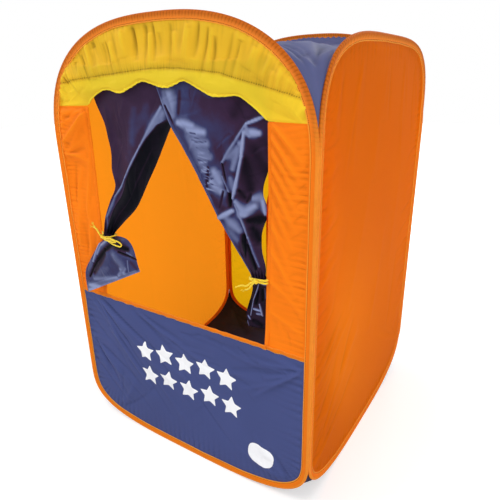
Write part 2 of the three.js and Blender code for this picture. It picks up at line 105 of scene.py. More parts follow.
class TheatreLoops(PropertyGroup):
    """The four wire loops that the cloth is sewn to."""

    sleeve: length("Sleeve radius", "Radius of the round sleeve over a wire", SLEEVE)
    front_half: length(
        "Front half width", "From the middle of the front arch to its wire",
        half_span("front_edge_binding", 0) - SLEEVE,
    )
    side_half: length(
        "Side half width", "From the middle of a side arch to its wire",
        half_span("right_edge_binding", 1) - SLEEVE,
    )
    front_top: length(
        "Front top", "Height of the front arch's wire", highest("front_edge_binding") - SLEEVE
    )
    side_top: length("Side top", "Height of a side arch's wire", highest("right_edge_binding") - SLEEVE)
    shoulder: length("Shoulder height", "Where the corner seams end and the arches begin", 0.797)
    heel: length("Heel height", "Where the loops begin to round in towards the floor", 0.150)
    front_arch: power("Front arch power", "Squareness of the front and back arches", 2.48)
    side_arch: power("Side arch power", "Squareness of the side arches", 3.7)
    front_heel: power("Front heel power", "Squareness of the front loop's lower corners", 3.4)
    side_heel: power("Side heel power", "Squareness of a side loop's lower corners", 3.0)


class TheatreCloth(PropertyGroup):
    """Colours of the cloth, the tapes and the cord."""

    wall: colour("Wall orange", "Side walls", 0xFF7808)
    wall_glow: colour("Wall glow", "Light through the side walls", 0xFFA01E)
    # Strip orange is set a little lighter than the walls' orange: painted light, for the light that falls
    # on the front strips
    strip: colour("Strip orange", "Front strips beside the window", 0xFF8418)
    tape: colour("Binding orange", "Edge bindings", 0xFD9234)
    # Binding shade is painted shade for the bindings' puckered outer edge, arches and tucks; it also
    # darkens their stitches
    tape_dark: colour("Binding shade", "Puckered outer edge of the bindings", 0xBF5A12)
    yellow: colour("Yellow", "Valance and back wall", 0xEEC030)
    yellow_glow: colour("Yellow glow", "Light through the back wall", 0xFFCE10)
    hem_yellow: colour("Hem yellow", "Scalloped hem of the valance", 0xFFE038)
    navy: colour("Navy", "Lower front panel", 0x454F80)
    roof_navy: colour("Roof navy", "Roof", 0x5A618C)
    floor_navy: colour("Floor navy", "Floor", 0x2C2C48)
    satin: colour("Curtain navy", "Curtains", 0x353860)
    # Curtain plum, shade and shine are painted light: plum and near-black painted shade, and a blue-grey
    # painted highlight
    satin_plum: colour("Curtain plum", "Shaded parts of the curtains", 0x35223C)
    satin_deep: colour("Curtain shade", "Deep folds of the curtains", 0x02020C)
    satin_shine: colour("Curtain shine", "Crests of the curtains' folds", 0x8994BC)
    cord: colour("Cord yellow", "Cords that tie the curtains back", 0xFBD420)
    print_white: colour("Print white", "Printed stars and the sewn patch", 0xF2F3F6)


class TheatreFront(PropertyGroup):
    """Window, valance and hems of the front wall."""

    half_window: length("Half window", "From the middle of the window to a strip's edge", 0.2505)
    sill: length("Sill", "Height of the window's lower edge", 0.404)
    head: length("Head", "Height at which the strips meet the valance", 0.880)
    slant: length("Seam slant", "How much higher that seam is on the left than on the right", 0.018)
    dish: length("Dish", "How far the window's edges stand back at its head", 0.018)
    gathers: IntProperty(name="Gathers", description="Gathers along the valance's arch", default=74, min=8)


class TheatreStage(PropertyGroup):
    """Camera, lamps and floor."""

    camera_at: FloatVectorProperty(
        name="Camera place", description="Where the camera stands", default=(0.6988, -1.1017, 0.9492),
        size=3, subtype="TRANSLATION", unit="LENGTH",
    )
    camera_turn: FloatVectorProperty(
        name="Camera turn", description="How the camera is turned", default=(1.21496, 0.01672, 0.5708),
        size=3, subtype="EULER", unit="ROTATION",
    )
    camera_lens: number("Lens", "Focal length in millimetres", 33.657, 1.0)
    lamp_power: number("Key lamp", "Power of the soft key lamp", 64.0)
    world_level: number("World", "Level of the light all round", 0.5)


def settings_of(context):
    scene = context.scene
    return scene.theatre_loops, scene.theatre_cloth, scene.theatre_front


# Shapes in a wall's plane

ROUND = 2 * math.pi
QUARTER = math.pi / 2
CORNER = math.pi / 4
Loop = namedtuple("Loop", "half low top heel shoulder heel_power arch_power")


def wire_loop(sizes, kind):
    """The front loop or a side one. The back loop is like the front one."""
    half, top, heel, arch = (getattr(sizes, f"{kind}_{part}") for part in ("half", "top", "heel", "arch"))
    return Loop(half, sizes.sleeve, top, sizes.heel, sizes.shoulder, heel, arch)


def stack(*parts):
    return np.stack(np.broadcast_arrays(*parts), -1)


def on_wall(wall, plane, across, up, out):
    """Places given in a wall's own directions, as places in the room. plane is its wire's distance."""
    if wall == "front":
        return stack(across, -plane - out, up)
    if wall == "back":
        return stack(-across, plane + out, up)
    if wall == "right":
        return stack(plane + out, across, up)
    return stack(-plane - out, -across, up)


def hang(wall, sizes, flat, out):
    """A wall's cloth in the room, from its places in the wall's plane and how far it stands out."""
    return on_wall(wall, sizes.front_half, flat[..., 0], flat[..., 1], out)


def heel_curve(loop, inset, start, end, steps=120):
    phase = np.linspace(start, end, steps)
    drop = loop.heel - loop.low - inset
    return stack(
        (loop.half - inset) * np.sin(phase) ** (2 / loop.heel_power),
        loop.heel - drop * np.maximum(np.cos(phase), 0) ** (2 / loop.heel_power),
    )


def arch_curve(loop, inset, start, end, steps=160):
    phase = np.linspace(start, end, steps)
    rise = loop.top - inset - loop.shoulder
    return stack(
        (loop.half - inset) * np.maximum(np.cos(phase), 0) ** (2 / loop.arch_power),
        loop.shoulder + rise * np.sin(phase) ** (2 / loop.arch_power),
    )


def mirrored(path):
    return path[::-1] * (-1, 1)


def spread(path, count):
    """The same path as count points at even distances."""
    steps = np.r_[0, np.cumsum(np.linalg.norm(np.diff(path, axis=0), axis=1))]
    at = np.linspace(0, steps[-1], count)
    return stack(*(np.interp(at, steps, path[:, k]) for k in range(path.shape[1])))


def loop_outline(loop, inset, count):
    """A closed loop, anticlockwise from the middle of the floor. The last point isn't the first again."""
    right = np.vstack([heel_curve(loop, inset, 0, QUARTER), arch_curve(loop, inset, 0, QUARTER)])
    return spread(np.vstack([right, mirrored(right)]), count + 1)[:-1]


def half_width(loop, inset, up):
    half = loop.half - inset
    low = np.clip((loop.heel - up) / (loop.heel - loop.low - inset), 0, 1)
    high = np.clip((up - loop.shoulder) / (loop.top - inset - loop.shoulder), 0, 1)
    shape = (1 - low**loop.heel_power) ** (1 / loop.heel_power)
    return half * shape * (1 - high**loop.arch_power) ** (1 / loop.arch_power)


def patch(bottom, top, left, right):
    """A smooth grid, rows from bottom to top, between four curves that meet at their ends."""
    u = np.linspace(0, 1, len(bottom))[None, :, None]
    v = np.linspace(0, 1, len(left))[:, None, None]
    ruled = (1 - v) * bottom[None] + v * top[None] + (1 - u) * left[:, None] + u * right[:, None]
    corners = (
        (1 - u) * (1 - v) * bottom[0] + u * (1 - v) * bottom[-1]
        + (1 - u) * v * top[0] + u * v * top[-1]
    )
    return ruled - corners


def foot_edge(loop, inset, columns):
    """The lower edge of a loop's cloth from corner to corner."""
    foot = heel_curve(loop, inset, 0, CORNER)
    return spread(np.vstack([mirrored(foot), foot]), columns)


def loop_patch(loop, inset, columns, rows):
    """A grid that fills a whole loop."""
    side = np.vstack([heel_curve(loop, inset, CORNER, QUARTER), arch_curve(loop, inset, 0, CORNER)])
    head = arch_curve(loop, inset, CORNER, QUARTER)
    top = spread(np.vstack([head, mirrored(head)]), columns)[::-1]
    right = spread(side, rows)
    return patch(foot_edge(loop, inset, columns), top, right * (-1, 1), right)


def panel_below(loop, inset, sill, columns, rows):
    """A grid that fills the part of a loop below a level edge."""
    rest = heel_curve(loop, inset, CORNER, QUARTER)
    right = spread(np.vstack([rest, [[loop.half - inset, sill]]]), rows)
    top = spread(np.array([[-right[-1, 0], sill], [right[-1, 0], sill]]), columns)
    return patch(foot_edge(loop, inset, columns), top, right * (-1, 1), right)


BATCH = 4000


def nearest(outline, points):
    """Each point's distance to a closed outline, and how far along the outline the nearest place is."""
    flat = points.reshape(-1, 2)
    step = np.linalg.norm(outline[1] - outline[0])
    distance, along = [], []
    for start in range(0, len(flat), BATCH):
        gaps = np.linalg.norm(flat[start : start + BATCH, None] - outline[None], axis=2)
        distance.append(gaps.min(axis=1))
        along.append(gaps.argmin(axis=1) * step)
    return tuple(np.concatenate(found).reshape(points.shape[:-1]) for found in (distance, along))


def smooth(value, low, high):
    t = np.clip((value - low) / (high - low), 0, 1)
    return t * t * (3 - 2 * t)


def spline(points, count):
    """A smooth curve through points, as count points, with equal shares for each span."""
    points = np.asarray(points, float)
    ends = np.vstack([2 * points[0] - points[1], points, 2 * points[-1] - points[-2]])
    at = np.linspace(0, len(points) - 1, count)
    k = np.minimum(at.astype(int), len(points) - 2)
    t = (at - k)[:, None]
    a, b, c, d = (ends[k + i] for i in range(4))
    return 0.5 * (2 * b + (c - a) * t + (2 * a - 5 * b + 4 * c - d) * t**2 + (3 * b - a - 3 * c + d) * t**3)


class Creases:
    """Folds in a sheet's own plane: fading ridges, and slow swells, all in metres."""

    def __init__(self, seed):
        self.random = random.Random(seed)
        self.ridges = []
        self.waves = []

    def ridge(self, start, end, width, height, bow=0.0):
        self.ridges.append((start, end, width, height, bow))

    def fan(self, root, aim, spread_angle, count, reach, width, height):
        """Ridges that start near a place and open out about a direction, in degrees."""
        draw = self.random.uniform
        for k in range(count):
            angle = math.radians(aim + spread_angle * ((k + 0.5) / count - 0.5) + draw(-4, 4))
            far = reach * draw(0.45, 1.0)
            near = [c + draw(-0.012, 0.012) for c in root]
            end = (near[0] + far * math.cos(angle), near[1] + far * math.sin(angle))
            size = draw(0.5, 1.0) * height * self.random.choice((1, 1, -1))
            self.ridge(near, end, width * draw(0.6, 1.4), size, draw(-0.01, 0.01))

    def scatter(self, low, high, aim, spread_angle, count, reach, width, height):
        """Ridges here and there in a rectangle, about a direction."""
        draw = self.random.uniform
        for _ in range(count):
            angle = math.radians(aim + draw(-0.5, 0.5) * spread_angle)
            far = reach * draw(0.35, 1.0) / 2
            middle = [draw(a, b) for a, b in zip(low, high)]
            step = (far * math.cos(angle), far * math.sin(angle))
            ends = [(middle[0] + s * step[0], middle[1] + s * step[1]) for s in (-1, 1)]
            size = draw(0.4, 1.0) * height * self.random.choice((1, -1))
            self.ridge(*ends, width * draw(0.6, 1.4), size, draw(-0.008, 0.008))

    def swell(self, count, shortest, longest, height):
        draw = self.random.uniform
        for _ in range(count):
            angle = draw(0, math.pi)
            turn = ROUND / draw(shortest, longest)
            self.waves.append((turn * math.cos(angle), turn * math.sin(angle), draw(0, ROUND), height))

    def lift(self, across, up):
        """How far the sheet stands out at each place."""
        total = np.zeros(np.broadcast(across, up).shape)
        for turn_x, turn_y, phase, height in self.waves:
            total += height * np.sin(turn_x * across + turn_y * up + phase)
        for start, end, width, height, bow in self.ridges:
            dx, dy = end[0] - start[0], end[1] - start[1]
            size = math.hypot(dx, dy)
            dx, dy = dx / size, dy / size
            along = ((across - start[0]) * dx + (up - start[1]) * dy) / size
            inside = np.clip(along, 0, 1)
            fade = np.sqrt(np.maximum(4 * inside * (1 - inside), 0)) * (1.25 - 0.5 * inside)
            beside = (up - start[1]) * dx - (across - start[0]) * dy - bow * 4 * inside * (1 - inside)
            wide = width * (0.55 + 0.9 * inside)
            total += height * fade * np.exp(0.25 - np.sqrt((beside / wide) ** 2 + 0.0625))
        return total


# Meshes

def grid_faces(rows, columns, close_rows=False, close_columns=False):
    i = np.arange(rows if close_rows else rows - 1)[:, None]
    j = np.arange(columns if close_columns else columns - 1)[None]
    down, right = (i + 1) % rows, (j + 1) % columns
    corners = (i * columns + j, i * columns + right, down * columns + right, down * columns + j)
    return np.stack([c.reshape(-1) for c in np.broadcast_arrays(*corners)], -1)


def capped_faces(rows, columns):
    """Faces of a bar whose rings are the grid's rows, with a lid at each end."""
    lids = [list(range(columns))[::-1], [(rows - 1) * columns + k for k in range(columns)]]
    return grid_faces(rows, columns, close_columns=True).tolist() + lids


def make_piece(name, points, faces, finish, values=None):
    mesh = bpy.data.meshes.new(name)
    places = np.asarray(points, float).reshape(-1, 3).tolist()
    mesh.from_pydata(places, [], [list(map(int, f)) for f in faces])
    for key, numbers in (values or {}).items():
        layer = mesh.attributes.new(key, "FLOAT", "POINT")
        layer.data.foreach_set("value", np.asarray(numbers, np.float32).reshape(-1))
    mesh.materials.append(finish)
    mesh.shade_smooth()
    mesh.update()
    piece = bpy.data.objects.new(name, mesh)
    bpy.context.scene.collection.objects.link(piece)
    return piece


def grid_piece(name, grid, finish, values=None, **closing):
    return make_piece(name, grid, grid_faces(*grid.shape[:2], **closing), finish, values)


def settle(piece, body, nodes):
    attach(piece, body)
    if nodes:
        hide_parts(*nodes)
    return piece


def grid_area(grid):
    a = grid[1:, 1:] - grid[:-1, :-1]
    b = grid[1:, :-1] - grid[:-1, 1:]
    if grid.shape[2] == 2:
        return float(np.abs(a[..., 0] * b[..., 1] - a[..., 1] * b[..., 0]).sum() / 2)
    return float(np.linalg.norm(np.cross(a, b), axis=2).sum() / 2)


def tube(path, radius, sides=10, strands=0, lay=0.012, taper=0.0, closed=False):
    """A round cord along a path. With strands, its section has that many lobes that turn as it runs."""
    path = np.asarray(path, float)
    count = len(path)
    after = np.roll(path, -1, 0) if closed else np.vstack([path[1:], 2 * path[-1] - path[-2]])
    before = np.roll(path, 1, 0) if closed else np.vstack([2 * path[0] - path[1], path[:-1]])
    ahead = after - before
    ahead /= np.linalg.norm(ahead, axis=1)[:, None]
    side = np.zeros_like(path)
    start = np.cross(ahead[0], (0.0, 0.31, 0.95))
    side[0] = start / np.linalg.norm(start)
    for k in range(1, count):
        kept = side[k - 1] - ahead[k] * np.dot(side[k - 1], ahead[k])
        side[k] = kept / np.linalg.norm(kept)
    other = np.cross(ahead, side)
    run = np.r_[0, np.cumsum(np.linalg.norm(np.diff(path, axis=0), axis=1))]
    around = np.linspace(0, ROUND, sides, endpoint=False)
    size = np.full((count, sides), radius)
    if strands:
        turn = strands * around[None] - ROUND * (run / lay)[:, None]
        size = radius * (0.86 + 0.18 * np.abs(np.cos(turn / 2)))
    if taper:
        ends = np.minimum(run, run[-1] - run)[:, None]
        size = size * np.sqrt(np.clip(ends / taper, 0.02, 1))
    points = path[:, None] + size[..., None] * (
        np.cos(around)[None, :, None] * side[:, None] + np.sin(around)[None, :, None] * other[:, None]
    )
    if closed:
        faces = grid_faces(count, sides, close_rows=True, close_columns=True).tolist()
    else:
        faces = capped_faces(count, sides)
    return points.reshape(-1, 3), faces


def gather_meshes(parts):
    """Several sets of points and faces as one."""
    points, faces, first = [], [], 0
    for some, polygons in parts:
        points.append(some)
        faces += [[first + k for k in polygon] for polygon in polygons]
        first += len(some)
    return np.vstack(points), faces


# Finishes

class Finish:
    """A node tree, built socket by socket, of a material or of a world."""

    def __init__(self, name, store="materials"):
        self.owner = getattr(bpy.data, store).new(name)
        self.owner.use_nodes = True
        self.tree = self.owner.node_tree
        self.tree.nodes.clear()

    def node(self, kind, settings=None, **inputs):
        made = self.tree.nodes.new("ShaderNode" + kind)
        for key, value in (settings or {}).items():
            setattr(made, key, value)
        for key, value in inputs.items():
            numbered = key[0] == "i" and key[1:].isdigit()
            socket = made.inputs[int(key[1:])] if numbered else made.inputs[key.replace("_", " ")]
            if isinstance(value, bpy.types.NodeSocket):
                self.tree.links.new(value, socket)
            else:
                socket.default_value = value
        return made

    def math(self, operation, *values):
        inputs = {f"i{k}": v for k, v in enumerate(values)}
        return self.node("Math", {"operation": operation}, **inputs).outputs[0]

    def times(self, first, second):
        return self.math("MULTIPLY", first, second)

    def line(self, value, slope, start):
        return self.math("MULTIPLY_ADD", value, slope, start)

    def span(self, value, low, high, first=0.0, last=1.0):
        """A value's share of the way from low to high, as a number from first to last."""
        return self.node("MapRange", Value=value, i1=low, i2=high, i3=first, i4=last).outputs[0]

    def blend(self, factor, first, second):
        return self.node("Mix", {"data_type": "RGBA"}, i0=factor, i6=first, i7=second).outputs[2]

    def tint(self, paint, share, most, other):
        """Paint that is mixed with most of another one where share is 1."""
        return self.blend(self.times(share, most), paint, other)

    def stitches(self, from_row, half, along, per_metre, gap):
        """1 on the threads of a row of stitches, and 0 beside it and in the gaps."""
        dash = self.math("GREATER_THAN", self.math("FRACT", self.times(along, per_metre)), gap)
        return self.times(self.math("LESS_THAN", from_row, half), dash)

    def noise(self, place, scale, detail=2.0, roughness=0.5, distortion=0.0, **settings):
        return self.node(
            "TexNoise", settings, Vector=place, Scale=scale, Detail=detail, Roughness=roughness,
            Distortion=distortion,
        ).outputs[0]

    def bump(self, height, strength, distance, **below):
        return self.node("Bump", Strength=strength, Distance=distance, Height=height, **below).outputs[0]

    def value(self, name):
        return self.node("Attribute", {"attribute_name": name}).outputs["Fac"]

    def place(self):
        return self.node("TexCoord").outputs["Object"]

    def close(self, shader, kind="OutputMaterial"):
        self.node(kind, Surface=shader.outputs[0])
        return self.owner


def rgba(light, factor=1.0):
    return (*(min(1.0, c * factor) for c in light), 1.0)


def cloth_base(make, light, depth=0.5):
    """A cloth's colour: a little uneven, with painted shade in its folds' valleys and a painted highlight
    on their crests.
    """
    place = make.place()
    level = make.line(make.noise(place, 5.5, 3.0, 0.55), 1.6, -0.3)
    paint = make.blend(level, rgba(light, 0.94), rgba(light, 1.06))
    tone = make.value("tone")
    # painted shade in the folds' valleys, then a painted highlight on their crests
    paint = make.tint(paint, tone, -depth, rgba(light, 0.36))
    return place, make.tint(paint, tone, depth * 0.7, rgba(light, 1.45))


def cloth_relief(make, place, crumple=0.0007, thread=0.00005, scale=7.0):
    """Bump of crisp small crumples over a plain weave of fine threads."""
    warp, weft = (
        make.node("TexWave", {"bands_direction": way}, Vector=place, Scale=300.0, Distortion=0.4).outputs[1]
        for way in ("Z", "DIAGONAL")
    )
    woven = make.bump(make.times(warp, weft), 0.35, thread)
    folds = make.noise(place, scale, 3.0, 0.45, noise_type="RIDGED_MULTIFRACTAL")
    return make.bump(folds, 0.8, crumple, Normal=woven)


def thin_cloth(make, paint, relief, roughness, passing, glow=None, specular=0.05):
    """Light that a thin cloth returns and lets through."""
    face = make.node("BsdfPrincipled", Base_Color=paint, Roughness=roughness, Normal=relief)
    face.inputs["Specular IOR Level"].default_value = specular
    through = make.node("BsdfTranslucent", Color=rgba(glow) if glow else paint, Normal=relief)
    return make.close(make.node("MixShader", i0=passing, i1=face.outputs[0], i2=through.outputs[0]))


def taffeta(name, light, roughness=0.55, passing=0.2, crumple=0.0007, scale=7.0, glow=None):
    make = Finish(name)
    place, paint = cloth_base(make, light)
    relief = cloth_relief(make, place, crumple, scale=scale)
    return thin_cloth(make, paint, relief, roughness, passing, glow)


def satin(name, light, plum, deep, shine):
    """Smooth curtain cloth whose colour is painted shading: near-black painted shade in its deep folds,
    plum painted shade in its shaded parts, and a blue-grey painted highlight on their crests.
    """
    make = Finish(name)
    place = make.place()
    # the curtains' painted shading, with a little random unevenness
    tone = make.line(make.noise(place, 22.0, 4.0, 0.6), 0.5, make.math("ADD", make.value("tone"), -0.25))
    ramp = make.node("ValToRGB", i0=make.line(tone, 0.5, 0.5))
    steps = ramp.color_ramp.elements
    steps[0].color, steps[1].color = rgba(deep), rgba(shine)
    # from near-black painted shade through plum painted shade and navy to a blue-grey painted highlight
    for at, paint in ((0.24, rgba([a * 0.55 for a in plum])), (0.42, rgba(plum)), (0.55, rgba(light))):
        steps.new(at).color = paint
    relief = cloth_relief(make, place, 0.0009, 0.00003, 12.0)
    return thin_cloth(make, ramp.outputs[0], relief, 0.42, 0.02, specular=0.07)


def valance_cloth(name, light, hem_light):
    """Yellow cloth, brighter in its hem, with painted shade and highlight in its folds, and a dark row of
    stitches along the casing with painted shade of its puckers beside it.
    """
    make = Finish(name)
    place, paint = cloth_base(make, light, depth=0.62)
    paint = make.tint(paint, make.value("hem"), 0.8, rgba(hem_light))
    wander = make.line(make.noise(place, 60.0), 0.003, make.math("ADD", make.value("casing"), -0.0015))
    from_row = make.math("ABSOLUTE", wander)
    row = make.stitches(from_row, 0.0013, make.value("along"), 170.0, 0.42)
    # painted shade beside the casing's row, as strong as the puckers there
    casing_shade = make.span(from_row, 0.0, 0.008, 0.34, 0.0)
    paint = make.tint(paint, casing_shade, make.value("pucker"), rgba(light, 0.3))
    paint = make.tint(paint, row, 0.5, rgba(light, 0.22))
    return thin_cloth(make, paint, cloth_relief(make, place, 0.0006), 0.5, 0.26)


LIP = 0.0119  # from a binding's wire to its stitched lip
LIP_ROW = 0.0114


def binding_cloth(name, light, dark_light, straight):
    """Folded tape, tucked towards its outer edge: painted shade there, deepest over the arches and in the
    tucks, a painted highlight on its rounded fold along straight runs, and a pale stitched lip.
    """
    make = Finish(name)
    place, paint = cloth_base(make, light)
    depth, along, arch = make.value("depth"), make.value("along"), make.value("arch")
    outer = make.span(depth, -0.0095, -0.001)
    grain = make.noise(place, 70.0)
    straights = make.math("SUBTRACT", 1.0, arch)
    # straight runs take the strips' lighter orange, and their rounded fold over the wire a painted
    # highlight
    for inner, most, paler in ((-LIP, 0.9, rgba(straight)), (-0.0022, 0.7, rgba(light, 1.3))):
        inside = make.times(straights, make.math("GREATER_THAN", depth, inner))
        paint = make.tint(paint, inside, most, paler)
    # painted shade on the outer band, strongest over the arches, with a little random grain
    arch_shade_and_grain = make.times(outer, make.line(arch, 0.6, make.times(grain, 0.22)))
    paint = make.blend(arch_shade_and_grain, paint, rgba(dark_light))
    lean = make.line(depth, 230.0, make.times(along, 820.0))
    tucks = make.math("SINE", make.line(grain, 3.0, lean))
    # painted shade in the tucks, stronger over the arches
    paint = make.tint(paint, make.times(tucks, outer), make.line(arch, 0.34, 0.02), rgba(dark_light, 0.45))
    paint = make.tint(paint, make.math("LESS_THAN", depth, -LIP), 0.8, rgba(light, 1.5))
    row = make.stitches(make.math("ABSOLUTE", make.math("ADD", depth, LIP_ROW)), 0.0006, along, 260.0, 0.3)
    paint = make.tint(paint, row, 0.8, rgba(dark_light, 0.7))
    height = make.line(make.times(tucks, make.line(arch, 0.9, 0.1)), 0.4, make.times(row, -1.0))
    relief = make.bump(height, 0.7, 0.0005, Normal=cloth_relief(make, place, 0.0003, scale=30.0))
    return thin_cloth(make, paint, relief, 0.6, 0.24)


def cord_finish(name, light):
    make = Finish(name)
    fibres = make.noise(make.place(), 900.0, distortion=1.5)
    paint = make.blend(fibres, rgba(light, 0.75), rgba(light, 1.15))
    relief = make.bump(fibres, 0.7, 0.0003)
    return make.close(
        make.node("BsdfPrincipled", Base_Color=paint, Roughness=0.75, Normal=relief, Sheen_Weight=0.2)
    )


def steel_finish(name):
    make = Finish(name)
    drawn = make.noise(make.place(), 260.0, 3.0, distortion=2.0)
    paint = make.blend(drawn, (0.36, 0.37, 0.39, 1.0), (0.62, 0.63, 0.65, 1.0))
    rough = make.span(drawn, 0.0, 1.0, 0.24, 0.42)
    return make.close(make.node("BsdfPrincipled", Base_Color=paint, Roughness=rough, Metallic=1.0))


def print_finish(name, light):
    """White ink on cloth: the weave shows through and the ink is thin in places."""
    make = Finish(name)
    place = make.place()
    level = make.span(make.noise(place, 160.0, 4.0, 0.6), 0.55, 0.75, 0.0, 0.35)
    paint = make.blend(level, rgba(light), rgba(light, 0.8))
    relief = cloth_relief(make, place, 0.0003)
    return make.close(make.node("BsdfPrincipled", Base_Color=paint, Roughness=0.5, Normal=relief))


finishes = {}


def finish(name, builder, *arguments, **options):
    if name not in finishes:
        finishes[name] = builder(name, *arguments, **options)
    return finishes[name]


def binding_tape(dyes):
    return finish("binding_tape_cloth", binding_cloth, dyes.tape, dyes.tape_dark, dyes.strip)


# Bindings

BINDING_STEPS = 780
BINDING_TUCKS = (150, 240)  # round a loop, at least and at most
BINDING_BENDS = (9, 40)
BINDING_HALF = (  # outwards and beside, in metres, from the outer edge to the stitched lip
    (0.0039, 0.0), (0.0035, 0.0017), (0.0024, 0.0031), (0.0006, 0.0038), (-0.0016, 0.0037),
    (-0.0038, 0.0031), (-0.0062, 0.0025), (-0.0088, 0.0022), (-0.0104, 0.0019), (-0.0114, 0.0013),
    (-0.0124, 0.0017), (-0.0134, 0.0018), (-0.0139, 0.0013), (-0.0139, 0.0005),
)
TAPE_SECTION = (  # into the cloth and beside it, in metres, from the folded edge to the stitched lip
    (-0.0012, 0.0), (-0.0008, 0.0010), (0.0005, 0.0015), (0.0024, 0.0012), (0.0044, 0.0015),
    (0.0062, 0.0013), (0.0070, 0.0009), (0.0077, 0.0013), (0.0086, 0.0011), (0.0086, 0.0004),
)


def both_faces(section):
    """A tape's half section and its mirror image as one ring."""
    ring = np.array([*section, *((u, -v) for u, v in section[::-1][:-1])])
    return ring[:, 0][None], ring[:, 1][None]


def binding(name, wall, plane, loop, seed, light):
    """A folded tape over a loop's wire, drawn up in small tucks by its stitching."""
    draw = random.Random(seed)
    path = loop_outline(loop, 0.0, BINDING_STEPS)
    ahead = np.roll(path, -1, 0) - np.roll(path, 1, 0)
    ahead /= np.linalg.norm(ahead, axis=1)[:, None]
    step = np.linalg.norm(path[1] - path[0])
    along = (np.arange(BINDING_STEPS) * step)[:, None]
    total = BINDING_STEPS * step
    u, v = both_faces(BINDING_HALF)
    inner = u.min()
    tucked = smooth(-u, 0.001, 0.011) * smooth(u, inner, -0.0105)
    arch = 0.1 + 0.9 * smooth(path[:, 1], 0.74, 0.92)[:, None]
    waves = 0.0
    for _ in range(7):
        turns, phase, slant = draw.randint(*BINDING_TUCKS), draw.uniform(0, ROUND), draw.uniform(-220, 220)
        waves = waves + np.cos(ROUND * turns * along / total + phase + slant * u)
    ripple = np.zeros((BINDING_STEPS, 1))
    for _ in range(5):
        ripple += np.cos(ROUND * draw.randint(*BINDING_BENDS) * along / total + draw.uniform(0, ROUND))
    thick = 1 + arch * tucked * 0.16 * waves + 0.015 * waves * arch
    push = 0.00028 * ripple * (0.6 + 0.4 * tucked)
    deep = u + 0.00022 * ripple * smooth(-u, 0.006, -inner)
    deep = deep + 0.00012 * waves * smooth(-u, 0.008, -inner) * arch
    across = path[:, :1] + ahead[:, 1:] * deep
    up = path[:, 1:] - ahead[:, :1] * deep
    out = v * thick + push * smooth(-u, 0.002, 0.01)
    values = {
        "depth": np.broadcast_to(u, out.shape),
        "along": np.broadcast_to(along, out.shape),
        "arch": np.broadcast_to(smooth(path[:, 1:], 0.80, 0.95), out.shape),
    }
    grid = on_wall(wall, plane, across, up, out)
    return grid_piece(name, grid, light, values, close_rows=True, close_columns=True)


def folded_tape(name, wall, plane, path, stand, light, seed, section=TAPE_SECTION, closed=False):
    """A strip folded over a cut edge. path runs along the edge with the cloth on its left."""
    draw = random.Random(seed)
    ahead = np.roll(path, -1, 0) - np.roll(path, 1, 0) if closed else np.gradient(path, axis=0)
    ahead /= np.linalg.norm(ahead, axis=1)[:, None]
    u, v = both_faces(section)
    steps = np.linalg.norm(np.roll(path, -1, 0) - path, axis=1)
    run = np.r_[0, np.cumsum(steps[:-1])][:, None]
    whole = run[-1, 0] + (steps[-1] if closed else 0)
    waves = 0.0
    for _ in range(4):
        turns = round(whole / draw.uniform(0.010, 0.05))
        waves = waves + np.cos(ROUND * turns * run / whole + draw.uniform(0, 6) + 160 * u)
    ripple = 0.00018 * waves
    deep = u + ripple
    across, up = path[:, :1] - ahead[:, 1:] * deep, path[:, 1:] + ahead[:, :1] * deep
    out = np.reshape(stand, (-1, 1)) + v * (1 + 0.1 * waves) + ripple
    values = {
        "depth": np.broadcast_to(-0.002 - u / u.max() * LIP, out.shape),
        "along": np.broadcast_to(run, out.shape),
    }
    grid = on_wall(wall, plane, across, up, out)
    if closed:
        return grid_piece(name, grid, light, values, close_rows=True, close_columns=True)
    return make_piece(name, grid, capped_faces(*grid.shape[:2]), light, values)


class THEATRE_OT_bindings(Operator):
    """Sew the folded tapes over the four wire loops"""

    bl_idname = "theatre.bindings"
    bl_label = "Edge bindings"

    def execute(self, context):
        sizes, dyes, _ = settings_of(context)
        for wall, body, kind, seed in (
            ("front", "front", "front", 11),
            ("right", "right_side", "side", 12),
            ("left", "left_side", "side", 13),
            ("back", "back", "front", 14),
        ):
            loop = wire_loop(sizes, kind)
            piece = binding(f"{wall}_binding_tape", wall, sizes.front_half, loop, seed, binding_tape(dyes))
            settle(piece, body, [f"{wall}_edge_binding"])
        return {"FINISHED"}


# Walls

TUCK_IN = 0.006
OUTLINE_STEPS = 900


def shading_of(lift, passes=3, full=0.0015):
    """Painted shading of small folds: 1, a painted highlight, on their crests and -1, painted shade, in
    their valleys.
    """
    level = lift
    for _ in range(passes):
        level = (level + sum(np.roll(level, step, axis) for step in (1, -1) for axis in (0, 1))) / 5
    tone = np.clip((lift - level) / full, -1, 1)
    tone[[0, -1]] = tone[:, [0, -1]] = 0
    return tone


def seam_pull(loop, flat, creases, pucker, pitch, seed):
    """Stand-off of a wall's cloth: free in the middle, held at its seam, with small gathers beside it."""
    draw = random.Random(seed)
    distance, along = nearest(loop_outline(loop, TUCK_IN, OUTLINE_STEPS), flat)
    lift = creases.lift(flat[..., 0], flat[..., 1]) * smooth(distance, 0.004, 0.022)
    gathers = np.zeros(distance.shape)
    for _ in range(4):
        turn = ROUND / (pitch * draw.uniform(0.7, 1.5))
        reach = draw.uniform(0.016, 0.034)
        gathers += np.sin(turn * along + draw.uniform(0, 6)) * np.exp(-distance / reach)
    return lift + pucker * gathers * smooth(distance, 0.008, 0.016)


